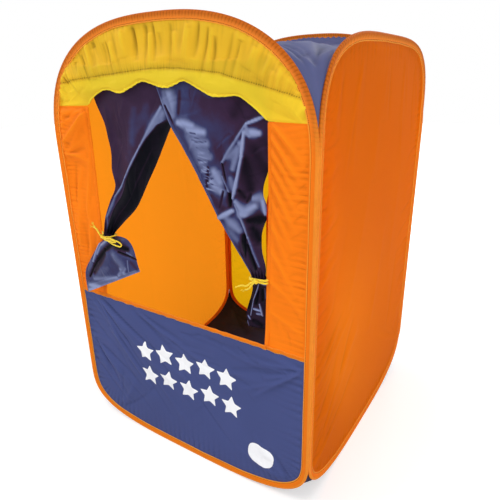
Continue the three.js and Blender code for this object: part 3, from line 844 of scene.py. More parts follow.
def right_creases():
    """Short pulls from both seams, steeper near the floor, and long soft folds."""
    creases = Creases(21)
    creases.swell(4, 0.35, 0.8, 0.0012)
    creases.scatter((-0.3, 0.25), (0.3, 0.9), 78, 24, 9, 0.5, 0.022, 0.0026)
    creases.scatter((-0.30, 0.1), (-0.12, 0.5), 32, 30, 12, 0.26, 0.008, 0.0036)
    for height in np.arange(0.10, 0.86, 0.055):
        low = max(0.0, 1 - height / 0.5)
        creases.fan((-0.335, height), 24 + 20 * low, 34, 2, 0.12 + 0.18 * low, 0.006, 0.0030)
        creases.fan((0.335, height), 196, 40, 1, 0.13, 0.006, 0.0024)
    for across in (-0.3, -0.24, -0.16, 0.0, 0.14, 0.24, 0.3):
        creases.fan((across, 0.985 - 0.25 * across * across), -90 + across * 60, 24, 3, 0.26, 0.007, 0.0024)
    creases.fan((-0.30, 0.14), 62, 34, 4, 0.34, 0.009, 0.004)
    creases.fan((0.30, 0.12), 130, 40, 4, 0.26, 0.009, 0.003)
    return creases


def left_creases():
    """Long soft upright folds, and a few pulls from the back seam."""
    creases = Creases(22)
    creases.swell(4, 0.35, 0.8, 0.0014)
    creases.scatter((-0.3, 0.1), (0.3, 0.95), 90, 10, 12, 0.6, 0.014, 0.0012)
    for height in (0.12, 0.2, 0.3, 0.45, 0.6, 0.75):
        creases.fan((-0.335, height), 30, 34, 2, 0.14, 0.007, 0.0016)
    return creases


class THEATRE_OT_side_walls(Operator):
    """Stretch the orange cloth in the side loops"""

    bl_idname = "theatre.side_walls"
    bl_label = "Side walls"

    def execute(self, context):
        sizes, dyes, _ = settings_of(context)
        loop = wire_loop(sizes, "side")
        flat = loop_patch(loop, TUCK_IN, columns=130, rows=180)
        cloth = finish("side_wall_taffeta", taffeta, dyes.wall, passing=0.58, glow=dyes.wall_glow)
        for wall, creases, seed in (("right", right_creases(), 21), ("left", left_creases(), 22)):
            lift = seam_pull(loop, flat, creases, pucker=0.0011, pitch=0.017, seed=seed)
            grid = hang(wall, sizes, flat, lift)
            # shading: painted shade and highlight of this cloth's folds
            piece = grid_piece(f"{wall}_wall_cloth", grid, cloth, {"tone": shading_of(lift)})
            settle(piece, f"{wall}_side", [f"{wall}_side_panel"])
        return {"FINISHED"}


def door_outline(count):
    """The doorway's edge, anticlockwise from the middle of its foot, seen from outside."""
    half, foot, spring, corner = 0.165, 0.080, 0.480, 0.060
    turn = np.linspace(-QUARTER, 0, 24)
    low = stack(half - corner + corner * np.cos(turn), foot + corner + corner * np.sin(turn))
    turn = np.linspace(0, QUARTER, 60)
    high = stack(half * np.cos(turn), spring + half * np.sin(turn))
    right = np.vstack([[[0.0, foot]], low, high])
    return spread(np.vstack([right, mirrored(right)]), count + 1)[:-1]


class THEATRE_OT_back_wall(Operator):
    """Stretch the yellow cloth in the back loop and bind its doorway"""

    bl_idname = "theatre.back_wall"
    bl_label = "Back wall"

    def execute(self, context):
        sizes, dyes, _ = settings_of(context)
        loop = wire_loop(sizes, "front")
        count = 340
        share = np.linspace(0, 1, 50)[:, None, None]
        flat = door_outline(count)[None] * (1 - share) + loop_outline(loop, TUCK_IN, count)[None] * share
        creases = Creases(31)
        creases.swell(5, 0.3, 0.7, 0.0016)
        creases.scatter((-0.3, 0.1), (0.3, 1.0), 65, 60, 26, 0.3, 0.012, 0.0026)
        for height in (0.2, 0.3, 0.42, 0.55, 0.68, 0.8):
            for across, aim in ((-0.34, 10), (0.34, 170)):
                creases.fan((across, height), aim, 60, 3, 0.18, 0.008, 0.0026)
        creases.fan((0.0, 0.66), 90, 120, 9, 0.3, 0.009, 0.0024)
        lift = seam_pull(loop, flat, creases, pucker=0.001, pitch=0.017, seed=31)
        lift = lift * smooth(share[..., 0], 0.0, 0.12)
        cloth = finish("back_wall_taffeta", taffeta, dyes.yellow, passing=0.5, glow=dyes.yellow_glow)
        grid = hang("back", sizes, flat, lift)
        # shading: painted shade and highlight of this cloth's folds
        piece = grid_piece("back_wall_cloth", grid, cloth, {"tone": shading_of(lift)}, close_columns=True)
        settle(piece, "back", ["back_panel"])
        path = door_outline(420)[::-1]
        tape = binding_tape(dyes)
        hem = folded_tape("doorway_binding_tape", "back", sizes.front_half, path, 0.0, tape, 5, closed=True)
        settle(hem, "back", ["doorway_hem"])
        return {"FINISHED"}


# Front wall

# The window's side edges: heights, shares of the dish, and places across on each side
EDGE_UP = (0.404, 0.445, 0.564, 0.718, 0.881)
EDGE_SHARE = (0.05, 0.28, 0.45, 0.78, 1.0)
EDGE_ACROSS = {
    -1: (-0.2510, -0.2485, -0.2465, -0.2475, -0.2490),
    1: (0.2470, 0.2475, 0.2490, 0.2505, 0.2470),
}
VALANCE_EDGE = (
    (-0.249, 0.891), (-0.208, 0.915), (-0.164, 0.927), (-0.122, 0.920), (-0.084, 0.931), (-0.047, 0.943),
    (0.007, 0.931), (0.036, 0.935), (0.065, 0.943), (0.098, 0.929), (0.131, 0.915), (0.161, 0.915),
    (0.189, 0.915), (0.220, 0.895), (0.247, 0.871),
)
CASING = (  # the row of stitches across the valance, lower towards the right
    (-0.356, 0.934), (-0.259, 0.948), (-0.163, 0.957), (-0.111, 0.961), (-0.013, 0.968), (0.056, 0.967),
    (0.150, 0.957), (0.215, 0.940), (0.295, 0.922), (0.336, 0.910),
)
HEADER_BAND = (0.950, 0.979)  # heights of the header tape behind the valance


def window_edge(window, side, up):
    """Where a strip's inner edge is at a height, across, and how far it stands out."""
    return np.interp(up, EDGE_UP, EDGE_ACROSS[side]), -window.dish * np.interp(up, EDGE_UP, EDGE_SHARE)


def seam_up(window, side):
    """Height of the seam between a strip and the valance."""
    return window.head - side * window.slant / 2


def hem_stand(window, across):
    """How far the valance's scalloped edge stands out."""
    return -window.dish * (0.1 + 0.9 * np.clip(np.abs(across) / 0.25, 0, 1) ** 3)


SEAM_GAP = 0.0006  # from a seam's line to the cloth on either side
TAPE_OVER = 0.0012  # how far the folded edge of the sill's tape stands above the sill

# The right strip's short pulls from the window's edge: height, slope in degrees, and stand-off
RIGHT_STRIP_PULLS = (
    (0.872, -38, 0.007), (0.848, -44, 0.008), (0.822, -46, 0.008), (0.795, -48, 0.007), (0.765, -52, 0.007),
    (0.73, -56, 0.005), (0.69, -60, 0.004), (0.63, -50, 0.004), (0.56, -30, 0.003), (0.49, -20, 0.003),
)


def strip_creases(side):
    creases = Creases(41 if side < 0 else 42)
    creases.swell(3, 0.16, 0.4, 0.0009)
    if side < 0:
        creases.fan((-0.252, 0.885), 212, 50, 7, 0.16, 0.010, 0.0065)
        creases.fan((-0.350, 0.765), 20, 90, 6, 0.11, 0.007, 0.0040)
        creases.scatter((-0.34, 0.42), (-0.27, 0.72), 80, 20, 8, 0.24, 0.009, 0.0040)
    else:
        for height, slope, high in RIGHT_STRIP_PULLS:
            angle = math.radians(slope)
            end = (0.258 + 0.095 * math.cos(angle), height + 0.125 * math.sin(angle))
            creases.ridge((0.250, height), end, 0.0085, high, 0.004)
        creases.scatter((0.26, 0.42), (0.35, 0.84), -48, 60, 12, 0.1, 0.006, 0.0020)
    return creases


def lower_creases():
    """Slanting pulls across the navy panel, and crumples by its upper right corner."""
    creases = Creases(51)
    creases.swell(4, 0.3, 0.7, 0.0013)
    creases.fan((-0.30, 0.385), -38, 34, 8, 0.44, 0.009, 0.0046)
    creases.fan((-0.17, 0.395), -26, 22, 6, 0.34, 0.007, 0.0036)
    creases.fan((0.335, 0.37), 196, 50, 9, 0.22, 0.007, 0.0046)
    creases.fan((-0.335, 0.25), -48, 40, 8, 0.26, 0.007, 0.0040)
    creases.scatter((-0.32, 0.06), (0.10, 0.34), -44, 24, 22, 0.24, 0.007, 0.0026)
    creases.scatter((0.02, 0.26), (0.32, 0.38), -12, 50, 12, 0.16, 0.007, 0.0026)
    creases.fan((0.31, 0.06), 150, 50, 6, 0.16, 0.008, 0.0036)
    creases.fan((-0.24, 0.05), 64, 60, 5, 0.2, 0.008, 0.0030)
    return creases


def lower_lift(loop, flat):
    return seam_pull(loop, flat, lower_creases(), pucker=0.001, pitch=0.016, seed=52)


class THEATRE_OT_front_wall(Operator):
    """Sew the strips, the navy panel and the hems round the window"""

    bl_idname = "theatre.front_wall"
    bl_label = "Front wall"

    def execute(self, context):
        sizes, dyes, window = settings_of(context)
        loop = wire_loop(sizes, "front")
        cloth = finish("front_strip_taffeta", taffeta, dyes.strip, passing=0.2, scale=10.0)
        for side, name in ((-1, "left"), (1, "right")):
            self.strip(sizes, window, loop, side, name, cloth)
        flat = panel_below(loop, TUCK_IN, window.sill - SEAM_GAP, columns=190, rows=92)
        lift = lower_lift(loop, flat) * smooth(window.sill - flat[..., 1], 0.004, 0.035)
        navy = finish("lower_panel_taffeta", taffeta, dyes.navy, passing=0.04, roughness=0.5)
        grid = hang("front", sizes, flat, lift)
        # shading: painted shade and highlight of this cloth's folds
        piece = grid_piece("lower_panel_cloth", grid, navy, {"tone": shading_of(lift)})
        settle(piece, "front", ["lower_front_panel"])
        tape = binding_tape(dyes)
        far = float(half_width(loop, TUCK_IN, np.array(window.sill))) - 0.004
        near = window.half_window
        for name, ends, count, seed, nodes in (
            ("sill_binding_tape", (near * 0.999, -near * 0.999), 120, 53, ["sill_tape"]),
            ("right_strip_foot_tape", (far, near), 50, 54, []),
            ("left_strip_foot_tape", (-near, -far), 50, 54, []),
        ):
            path = stack(np.linspace(*ends, count), window.sill + TAPE_OVER)
            hem = folded_tape(name, "front", sizes.front_half, path, 0.0, tape, seed)
            settle(hem, "front", nodes)
        return {"FINISHED"}

    def strip(self, sizes, window, loop, side, name, cloth):
        share = np.linspace(0, 1, 56)[None]
        top = seam_up(window, side)
        up = np.linspace(window.sill + SEAM_GAP, top - SEAM_GAP / 2, 220)[:, None]
        near, back = window_edge(window, side, up)
        across = near * (1 - share) + side * half_width(loop, TUCK_IN, up) * share
        flat = stack(across, np.broadcast_to(up, across.shape))
        lift = seam_pull(loop, flat, strip_creases(side), pucker=0.0009, pitch=0.013, seed=43 + side)
        lift = lift * smooth(share, 0.0, 0.12) * smooth(top - up, 0.0, 0.012)
        lift = lift * smooth(up - window.sill, 0.0, 0.02)
        grid = hang("front", sizes, flat, lift + back * (1 - share))
        # shading: painted shade and highlight of this cloth's folds
        piece = grid_piece(f"{name}_strip_cloth", grid, cloth, {"tone": shading_of(lift, 24, 0.0022)})
        settle(piece, "front", [f"{name}_front_strip"])
        grid_area(flat)
        up = np.linspace(window.sill + 0.0022, top - 0.002, 130)[::-side]
        near, back = window_edge(window, side, up)
        path = stack(near, up)
        hem = folded_tape(f"{name}_strip_hem", "front", sizes.front_half, path, back, cloth, 44 + side)
        settle(hem, "front", [f"{name}_window_hem"])


HEADER_ROOM = 0.0003  # how far the valance may sink back over the header tape
VALANCE_COLUMNS = 420
VALANCE_ROWS = 64
GATHER_WAVES = ((1.0, 1.0), (0.6, 0.53), (0.45, 1.37), (0.35, 0.31))  # height and number, as shares


def valance_edges(loop, window):
    """The arch above the valance, and its scalloped edge with the seams to the strips, left to right."""
    arch, seams = [], {}
    for side in (1, -1):
        up = seam_up(window, side)
        share = (up - loop.shoulder) / (loop.top - TUCK_IN - loop.shoulder)
        rising = arch_curve(loop, TUCK_IN, math.asin(share ** (loop.arch_power / 2)), QUARTER)
        arch.append(rising if side > 0 else mirrored(rising))
        seams[side] = (side * half_width(loop, TUCK_IN, up), up)
    lower = np.vstack([[seams[-1]], spline(VALANCE_EDGE, 300), [seams[1]]])
    return spread(np.vstack(arch)[::-1], VALANCE_COLUMNS), spread(lower, VALANCE_COLUMNS)


def valance_folds(draw, lower, arch):
    """Long folds from the gathers down towards the hem."""
    folds = Creases(62)
    folds.swell(4, 0.08, 0.2, 0.0012)
    last = VALANCE_COLUMNS - 1
    for place in np.linspace(0.03, 0.97, 44):
        foot = lower[int(place * last)]
        head = arch[int(np.clip(place + draw.uniform(-0.02, 0.02), 0, 1) * last)]
        low, high = draw.uniform(0.05, 0.5), draw.uniform(0.75, 1.02)
        line = [tuple(foot * (1 - t) + head * t) for t in (high, low)]
        folds.ridge(*line, draw.uniform(0.005, 0.012), draw.choice((1, -1)) * draw.uniform(0.003, 0.006))
    return folds


class THEATRE_OT_valance(Operator):
    """Gather the yellow valance under the front arch, with its scalloped hem"""

    bl_idname = "theatre.valance"
    bl_label = "Valance"

    def execute(self, context):
        sizes, dyes, window = settings_of(context)
        loop = wire_loop(sizes, "front")
        arch, lower = valance_edges(loop, window)
        rise = np.linspace(0, 1, VALANCE_ROWS)[:, None]
        flat = lower[None] * (1 - rise[..., None]) + arch[None] * rise[..., None]
        lift, values = self.relief(window, loop, arch, lower, rise, flat)
        yellow = finish("valance_taffeta", valance_cloth, dyes.yellow, dyes.hem_yellow)
        piece = grid_piece("valance_cloth", hang("front", sizes, flat, lift), yellow, values)
        settle(piece, "front", ["valance"])
        path = spline(VALANCE_EDGE, 380)[3:-3]
        stand = hem_stand(window, path[:, 0])
        light = finish("valance_hem_taffeta", taffeta, dyes.hem_yellow, passing=0.15)
        thin = [(u * 0.9, v * 0.9) for u, v in TAPE_SECTION]
        roll = folded_tape("valance_rolled_hem", "front", sizes.front_half, path, stand, light, 63, thin)
        settle(roll, "front", ["valance_hem"])
        return {"FINISHED"}

    def relief(self, window, loop, arch, lower, rise, flat):
        """The valance's stand-off, and the values that its finish reads."""
        across, up = flat[..., 0], flat[..., 1]
        along = np.linspace(0, 1, VALANCE_COLUMNS)[None]
        draw = random.Random(61)
        bunch = along + 0.012 * np.sin(ROUND * (3.1 * along + 0.2)) - 0.05 * along * (1 - along)
        gathers = 0.0
        for share, turns in GATHER_WAVES:
            gathers = gathers + share * np.cos(ROUND * window.gathers * turns * bunch + draw.uniform(0, 6))
        strength = np.interp(along, [0, 0.3, 0.55, 0.8, 1], [1.0, 1.0, 0.6, 0.9, 0.7])
        top = smooth(rise, 0.45, 1.0) ** 1.5 * (1 - 0.85 * smooth(rise, 0.97, 1.0))
        lift = 0.0004 * top * (strength * gathers)
        folds = valance_folds(draw, lower, arch)
        lift = lift + folds.lift(across, up) * smooth(1 - rise, 0.02, 0.15) * smooth(rise, 0.0, 0.2)
        from_casing = up - np.interp(across, *np.transpose(CASING))
        off_casing = np.abs(from_casing)
        tucks = np.cos(ROUND * 150 * bunch + 1.0) + 0.7 * np.cos(ROUND * 97 * bunch)
        dense = np.interp(along, [0, 0.12, 0.5, 0.62, 0.72, 0.9, 1], [0.5, 1.0, 0.9, 0.5, 0.25, 0.7, 0.3])
        pull = np.exp(-off_casing / 0.012) * dense
        lift = lift + 0.0006 * pull * tucks - 0.0007 * np.exp(-off_casing / 0.004)
        lift = lift + 0.0030 * smooth(-off_casing, -0.05, -0.01)
        lift = lift + 0.0012 * smooth(-from_casing, 0.004, 0.03)
        held = smooth(np.minimum(along, 1 - along), 0.0, 0.05)
        lift = lift * held * smooth(rise, 0.0, 0.06) * smooth(1 - rise, 0.0, 0.04)
        # painted shading: shade and highlight of the gathers and folds, and of the tucks by the casing
        tone = shading_of(lift, 30, 0.0024) + 0.2 * pull * np.clip(tucks, -1.2, 1.2)

        beside = np.clip((np.abs(lower[:, 0]) - 0.246) / (loop.half - 0.252), 0, 1)
        low, high = HEADER_BAND
        fall = np.clip((low - up) / (low - np.minimum(lower[:, 1], low - 0.005)), 0, 1)
        lift = lift + hem_stand(window, lower[:, 0]) * (1 - beside) * fall
        in_front = (up > low) & (up < high) & (np.abs(across) < 0.27)
        lift = np.where(in_front, np.maximum(lift, -HEADER_ROOM), lift)
        return lift, {
            "casing": from_casing,
            "hem": smooth(-from_casing, 0.001, 0.006),
            "along": np.broadcast_to(along * 0.9, up.shape),
            # pucker: the strength of the painted shade beside the casing
            "pucker": np.broadcast_to(dense * (0.6 + 0.4 * np.sin(7 * tucks)), up.shape),
            "tone": np.clip(tone, -1, 1),
        }


# Roof and floor

LINER_POINTS = 96
LINER_IN = 0.0012  # from the walls' planes to the liners' edges
FLOOR_UP = 0.0012
FLOOR_LOWEST = 0.0008
STEEPEST = 3.0
GROUND_SHARE = 0.6  # how much of the floor lies flat, across and along


def arch_share(share, shape):
    return np.maximum(1 - np.abs(share) ** shape, 0) ** (1 / shape)


def liner_shares(shape):
    cosine = np.cos(math.pi * (1 - np.linspace(0, 1, LINER_POINTS)))
    return np.sign(cosine) * np.abs(cosine) ** (2 / shape)


def liner_start(level, rises, powers):
    """Shares across the stand and along it, and a first shape between the liner's four borders."""
    sx, sy = (liner_shares(power) for power in powers)
    front, side = (level + rise * arch_share(s, power) for rise, s, power in zip(rises, (sx, sy), powers))
    edges = np.zeros((LINER_POINTS, LINER_POINTS))
    edges[:, [0, -1]] = front[:, None]
    edges[[0, -1]] = side[None]
    heights = patch(edges[0, :, None], edges[-1, :, None], edges[:, :1], edges[:, -1:])
    return sx, sy, heights[..., 0]


def settle_heights(heights, held, tauter, sweeps=260, over=1.9):
    """Cloth that is taut between its borders and its other held places."""
    i, j = np.indices(heights.shape)
    odd = (i + j) % 2 == 1
    held = held.copy()
    held[[0, -1]] = held[:, [0, -1]] = True
    for _ in range(sweeps):
        for places in (odd, ~odd):
            beside = tauter * (np.roll(heights, 1, 1) + np.roll(heights, -1, 1))
            mean = (beside + np.roll(heights, 1, 0) + np.roll(heights, -1, 0)) / (2 * tauter + 2)
            move = places & ~held
            heights[move] += over * (mean[move] - heights[move])
    return heights


def corner_pulls(creases, out, *pull):
    """Fans out of the four corners, towards the middle."""
    for cx in (-1, 1):
        for cy in (-1, 1):
            creases.fan((out * cx, out * cy), math.degrees(math.atan2(-cy, -cx)), *pull)


class THEATRE_OT_liners(Operator):
    """Spread the navy roof and floor between the four loops"""

    bl_idname = "theatre.liners"
    bl_label = "Roof and floor"

    def execute(self, context):
        sizes, dyes, _ = settings_of(context)
        reach = sizes.front_half - LINER_IN
        rises = (sizes.front_top - sizes.shoulder, sizes.side_top - sizes.shoulder)
        sx, sy, start = liner_start(sizes.shoulder, rises, (sizes.front_arch, sizes.side_arch))
        roof = settle_heights(start, np.zeros(start.shape, bool), 3)
        creases = Creases(71)
        creases.swell(5, 0.16, 0.5, 0.0022)
        corner_pulls(creases, 0.335, 90, 9, 0.34, 0.009, 0.0055)
        for x in np.linspace(-0.3, 0.3, 9):
            for y, aim in ((-0.35, 90), (0.35, -90)):
                creases.fan((x, y), aim, 50, 2, 0.24, 0.009, 0.0036)
        creases.scatter((-0.3, -0.3), (0.3, 0.3), 80, 70, 22, 0.3, 0.012, 0.004)
        options = {"passing": 0.16, "roughness": 0.45, "scale": 9.0, "crumple": 0.0012}
        cloth = finish("roof_taffeta", taffeta, dyes.roof_navy, **options)
        self.lay("roof", cloth, sx, sy, roof, creases, reach, (0.95, 0.9))

        drop = sizes.sleeve - sizes.heel
        sx, sy, start = liner_start(sizes.heel, (drop, drop), (sizes.front_heel, sizes.side_heel))
        ground = np.maximum(np.abs(sx)[:, None], np.abs(sy)[None]) < GROUND_SHARE
        start[ground] = 0.0
        floor = settle_heights(start, ground, 1) + FLOOR_UP
        creases = Creases(72)
        creases.swell(4, 0.2, 0.5, 0.001)
        corner_pulls(creases, 0.33, 80, 7, 0.3, 0.010, 0.005)
        creases.scatter((-0.28, -0.28), (0.28, 0.28), 40, 170, 22, 0.26, 0.009, 0.002)
        options = {"passing": 0.0, "roughness": 0.6, "crumple": 0.0012}
        cloth = finish("floor_taffeta", taffeta, dyes.floor_navy, **options)
        self.lay("floor", cloth, sx, sy, floor, creases, reach, (0.86, 0.86), FLOOR_LOWEST)
        return {"FINISHED"}

    def lay(self, name, cloth, sx, sy, heights, creases, reach, flat, lowest=-1.0):
        """Push the creases out square to the relaxed shape."""
        x, y = np.meshgrid(sx * reach, sy * reach, indexing="ij")
        edge = reach - np.maximum(np.abs(x), np.abs(y))
        lift = creases.lift(x, y) * smooth(edge, 0.002, 0.03)
        slopes = (
            np.gradient(heights, axis=k) / np.maximum(np.gradient(run, axis=k), 1e-5)
            for k, run in enumerate((x, y))
        )
        slope_x, slope_y = (np.clip(slope, -STEEPEST, STEEPEST) for slope in slopes)
        steep = np.sqrt(1 + slope_x**2 + slope_y**2)
        grid = stack(
            np.clip(x - lift * slope_x / steep, -reach, reach),
            np.clip(y - lift * slope_y / steep, -reach, reach),
            np.maximum(heights + lift / steep, lowest),
        )
        # shading: painted shade and highlight of this cloth's folds
        piece = grid_piece(f"{name}_cloth", grid, cloth, {"tone": shading_of(lift, 14, 0.0036)})
        settle(piece, "front", [name])
        min(grid_area(grid), flat[0] * flat[1])
        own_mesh(piece)


# Curtains

# Each curtain's two edges, from its header to its hem: across and up, in millimetres
LEFT_OUTER = (
    (-242, 960), (-231, 898), (-207, 852), (-199, 819), (-193, 784), (-196, 744), (-184, 704), (-202, 665),
    (-219, 616), (-217, 580), (-219, 570), (-230, 560), (-247, 541), (-272, 509), (-295, 478), (-302, 450),
    (-301, 408),
)
LEFT_INNER = (
    (60, 960), (40, 900), (10, 855), (-12, 821), (-39, 777), (-70, 730), (-116, 661), (-158, 621),
    (-183, 594), (-190, 580), (-168, 587), (-134, 587), (-115, 576), (-105, 559), (-100, 541), (-96, 526),
    (-91, 512),
)
RIGHT_OUTER = (
    (256, 960), (256, 895), (255, 840), (240, 778), (230, 738), (240, 698), (229, 646), (235, 614),
    (245, 583), (246, 556), (251, 546), (257, 530), (258, 509), (257, 487), (256, 465), (254, 450),
    (253, 434),
)
RIGHT_INNER = (
    (-27, 960), (-12, 915), (11, 858), (40, 814), (71, 764), (98, 718), (124, 675), (160, 624),
    (195, 579), (214, 553), (211, 544), (207, 530), (200, 507), (193, 483), (188, 461), (189, 442),
    (194, 426),
)
# How far they stand out there, in metres: the left one through the window, the right one inside
THROUGH_OUT = (
    -0.0076, -0.0150, -0.0165, -0.0165, -0.0160, -0.0150, -0.0130, -0.0080, 0.0000, 0.0060, 0.0095,
    0.0130, 0.0155, 0.0175, 0.0185, 0.0190, 0.0190,
)
INSIDE_OUT = (
    -0.0068, -0.0105, -0.0110, -0.0125, -0.0136, -0.0136, -0.0130, -0.0115, -0.0100, -0.0095, -0.0130,
    -0.0180, -0.0210, -0.0215, -0.0215, -0.0215, -0.0215,
)
WAIST_ROW = 9
LAST_ROW = 16
WAIST = WAIST_ROW / LAST_ROW
WAIST_REACH = 0.04  # as a share of the length

# The left curtain's rolled inner edge: rows of the tables, and where across it the roll begins
ROLL_ROWS = (1.5, 2.0, 3.4, 5.0, 6.0, 7.2, 8.4, 9.0)
ROLL_SHARES = (0.97, 0.80, 0.65, 0.49, 0.32, 0.26, 0.36, 0.45)

# Folds, wide ones first: from and to, and half width, in millimetres, then the stand-off in tenths of one
# and the painted shading in hundredths, painted shade below 0 and painted highlight above
LEFT_FOLDS = (
    (-169, 873, -166, 737, 24, -10, -30), (-95, 883, -111, 818, 18, 10, 6),
    (-52, 896, -88, 847, 14, 0, 2), (-154, 807, -131, 772, 14, 10, -20),
    (-10, 880, -50, 838, 15, 20, 52), (-20, 860, -54, 830, 9, 10, 40),
    (-197, 883, -190, 814, 9, 10, -40), (-179, 721, -172, 703, 6, -10, -34),
    (-13, 891, -82, 807, 5, 30, 62), (-82, 807, -143, 732, 4, 40, 62),
    (-143, 732, -186, 679, 3, 40, 60), (-186, 679, -214, 624, 4, 30, 40),
    (-214, 624, -212, 597, 4, 10, 30),
)
LEFT_SKIRT = (
    (-200, 535, -250, 470, 30, 20, 18), (-203, 538, -259, 476, 9, -30, -62),
    (-166, 543, -145, 514, 12, 40, 34), (-198, 503, -233, 480, 9, 20, 24),
    (-152, 506, -147, 499, 9, 40, 80), (-288, 432, -249, 434, 9, 10, 74),
    (-118, 531, -101, 515, 7, 0, -16), (-172, 568, -127, 563, 8, -40, -130),
    (-263, 456, -176, 478, 6, 10, 60), (-140, 511, -168, 486, 5, 10, 60),
    (-168, 572, -201, 550, 6, -50, -130), (-201, 550, -236, 517, 6, -60, -130),
    (-236, 517, -258, 491, 5, -50, -120), (-258, 491, -282, 458, 4, -40, -110),
    (-191, 577, -221, 557, 4, 30, 84), (-230, 559, -254, 509, 5, 50, 84),
    (-220, 558, -235, 532, 4, 30, 64), (-267, 506, -282, 477, 4, 10, 20),
    (-295, 417, -262, 424, 4, 0, 84), (-184, 584, -150, 580, 4, 0, -110),
    (-153, 553, -122, 546, 3, -30, -130), (-122, 546, -101, 541, 2.5, -20, -120),
    (-128, 555, -112, 549, 2, 10, 26), (-128, 534, -130, 504, 2, 10, 44),
)
RIGHT_FOLDS = (
    (103, 902, 164, 889, 26, 0, -22), (214, 815, 237, 778, 24, -30, -76),
    (190, 794, 201, 739, 18, -30, -84), (124, 829, 142, 800, 18, 0, -14),
    (15, 918, 16, 890, 18, 20, 78), (182, 900, 172, 882, 15, -10, -56),
    (232, 835, 240, 802, 15, -10, -46), (59, 833, 95, 771, 15, 10, 36),
    (208, 656, 223, 637, 15, -40, -96), (75, 913, 73, 882, 14, 0, -4), (68, 826, 105, 823, 13, 10, 58),
    (84, 804, 113, 798, 13, 10, 46), (121, 768, 133, 748, 13, 20, 84), (149, 671, 177, 651, 13, 20, 56),
    (199, 674, 236, 679, 12, -50, -120), (181, 684, 212, 705, 12, 40, 78),
    (210, 720, 236, 726, 12, 30, 58), (113, 746, 138, 727, 12, 20, 72),
    (154, 801, 173, 812, 11, 20, 52), (199, 849, 223, 848, 10, 30, 100), (36, 862, 71, 857, 10, 20, 96),
    (60, 849, 100, 845, 10, 20, 88), (166, 777, 182, 828, 10, 30, 52), (159, 756, 167, 730, 9, 20, 48),
    (111, 713, 137, 692, 10, -10, -24), (169, 710, 190, 686, 9, 30, 78), (154, 647, 179, 623, 9, 0, 30),
    (29, 850, 93, 738, 8, 0, 10), (2, 920, 21, 875, 8, 0, 48), (176, 732, 188, 720, 8, -30, -76),
    (230, 717, 237, 692, 7, 30, 96), (188, 639, 191, 597, 7, -60, -140),
    (129, 671, 162, 690, 6, 50, 110), (196, 859, 203, 843, 6, 20, 70), (45, 923, 37, 881, 5, -10, -30),
    (154, 724, 155, 700, 5, -60, -130), (194, 713, 201, 727, 5, -30, -60),
    (198, 621, 219, 574, 5, -50, -120), (141, 787, 194, 861, 4, 30, 40),
    (192, 850, 185, 803, 4, 40, 110), (185, 803, 163, 717, 4, 40, 104),
    (197, 865, 232, 878, 4, 30, 110), (105, 774, 99, 734, 4, -20, -54), (199, 638, 229, 582, 4, 20, 44),
    (179, 623, 197, 584, 4, 0, -24), (2, 895, 20, 860, 3, -20, -64), (20, 860, 62, 790, 3, -10, -20),
    (141, 785, 148, 736, 3, -30, -64), (141, 728, 130, 694, 3, -20, -44),
    (169, 702, 199, 638, 3, 30, 52), (154, 729, 140, 759, 3, 20, 36),
)
RIGHT_SKIRT = (
    (230, 500, 215, 440, 30, 0, -60), (206, 443, 225, 438, 7, -20, -120),
    (233, 543, 243, 543, 5, 10, 110), (203, 524, 194, 470, 4, -30, -120),
    (218, 520, 212, 487, 4, -30, -130), (231, 526, 229, 499, 4, -30, -120),
    (208, 474, 224, 474, 4, 30, 92), (215, 464, 228, 466, 4, 20, 60), (192, 453, 197, 446, 3, 10, 74),
    (223, 489, 230, 464, 3, 40, 110), (225, 540, 207, 496, 1.8, 30, 84),
    (207, 496, 199, 456, 1.8, 20, 66), (238, 532, 237, 506, 1.8, 10, 40),
    (190, 440, 193, 427, 1.6, 10, 50),
)


def curtain_places(window, outer, inner, stands, rows, columns):
    """Shares down and across a curtain, its places, its stand-off, and where its waist and parts are."""
    a = spline(np.array(outer) / 1000, rows)
    b = spline(np.array(inner) / 1000, rows)
    t = np.linspace(0, 1, rows)[:, None]
    s = np.linspace(0, 1, columns)[None]
    flat = a[:, None] * (1 - s)[..., None] + b[:, None] * s[..., None]
    stand = spline([(v, 0) for v in stands], rows)[:, :1]
    behind = window.dish * 0.75 * smooth(np.abs(flat[..., 0]), 0.12, 0.24) * smooth(WAIST - t, 0.08, 0.3)
    waist = np.exp(-(((t - WAIST) / WAIST_REACH) ** 2))
    above, below = smooth(WAIST - t, 0.0, WAIST_REACH), smooth(t - WAIST, 0.0, 0.05)
    return t, s, flat, stand - behind, waist, above, below


def lay_folds(flat, folds, plain):
    """Stand-off and painted shading (shade and highlight) of a curtain's folds, each laid over the wider
    ones before it.
    """
    out, tone = np.zeros(flat.shape[:2]), np.zeros(flat.shape[:2]) + plain
    for x0, z0, x1, z1, half, lift, shade in folds:
        dx, dz = (x1 - x0) / 1000, (z1 - z0) / 1000
        size = math.hypot(dx, dz)
        across, up = flat[..., 0] - x0 / 1000, flat[..., 1] - z0 / 1000
        along, beside = (across * dx + up * dz) / size, (up * dx - across * dz) / size
        past = np.maximum(np.maximum(-along, along - size), 0)
        taper = 0.72 + 0.28 * np.sin(np.pi * np.clip(along / size, 0, 1))
        share = np.exp(-((beside**2 + past**2) * (1000 / half / taper) ** 2))
        out += share * (lift / 10000 - out)
        tone += share * (shade / 100 - tone)
    return out, tone


ON_STRIP = 0.0065  # stand-off of the skirt that lies on the left strip
INSIDE = -0.0035  # stand-off that the right curtain stays behind
HEM_FROM = 0.972


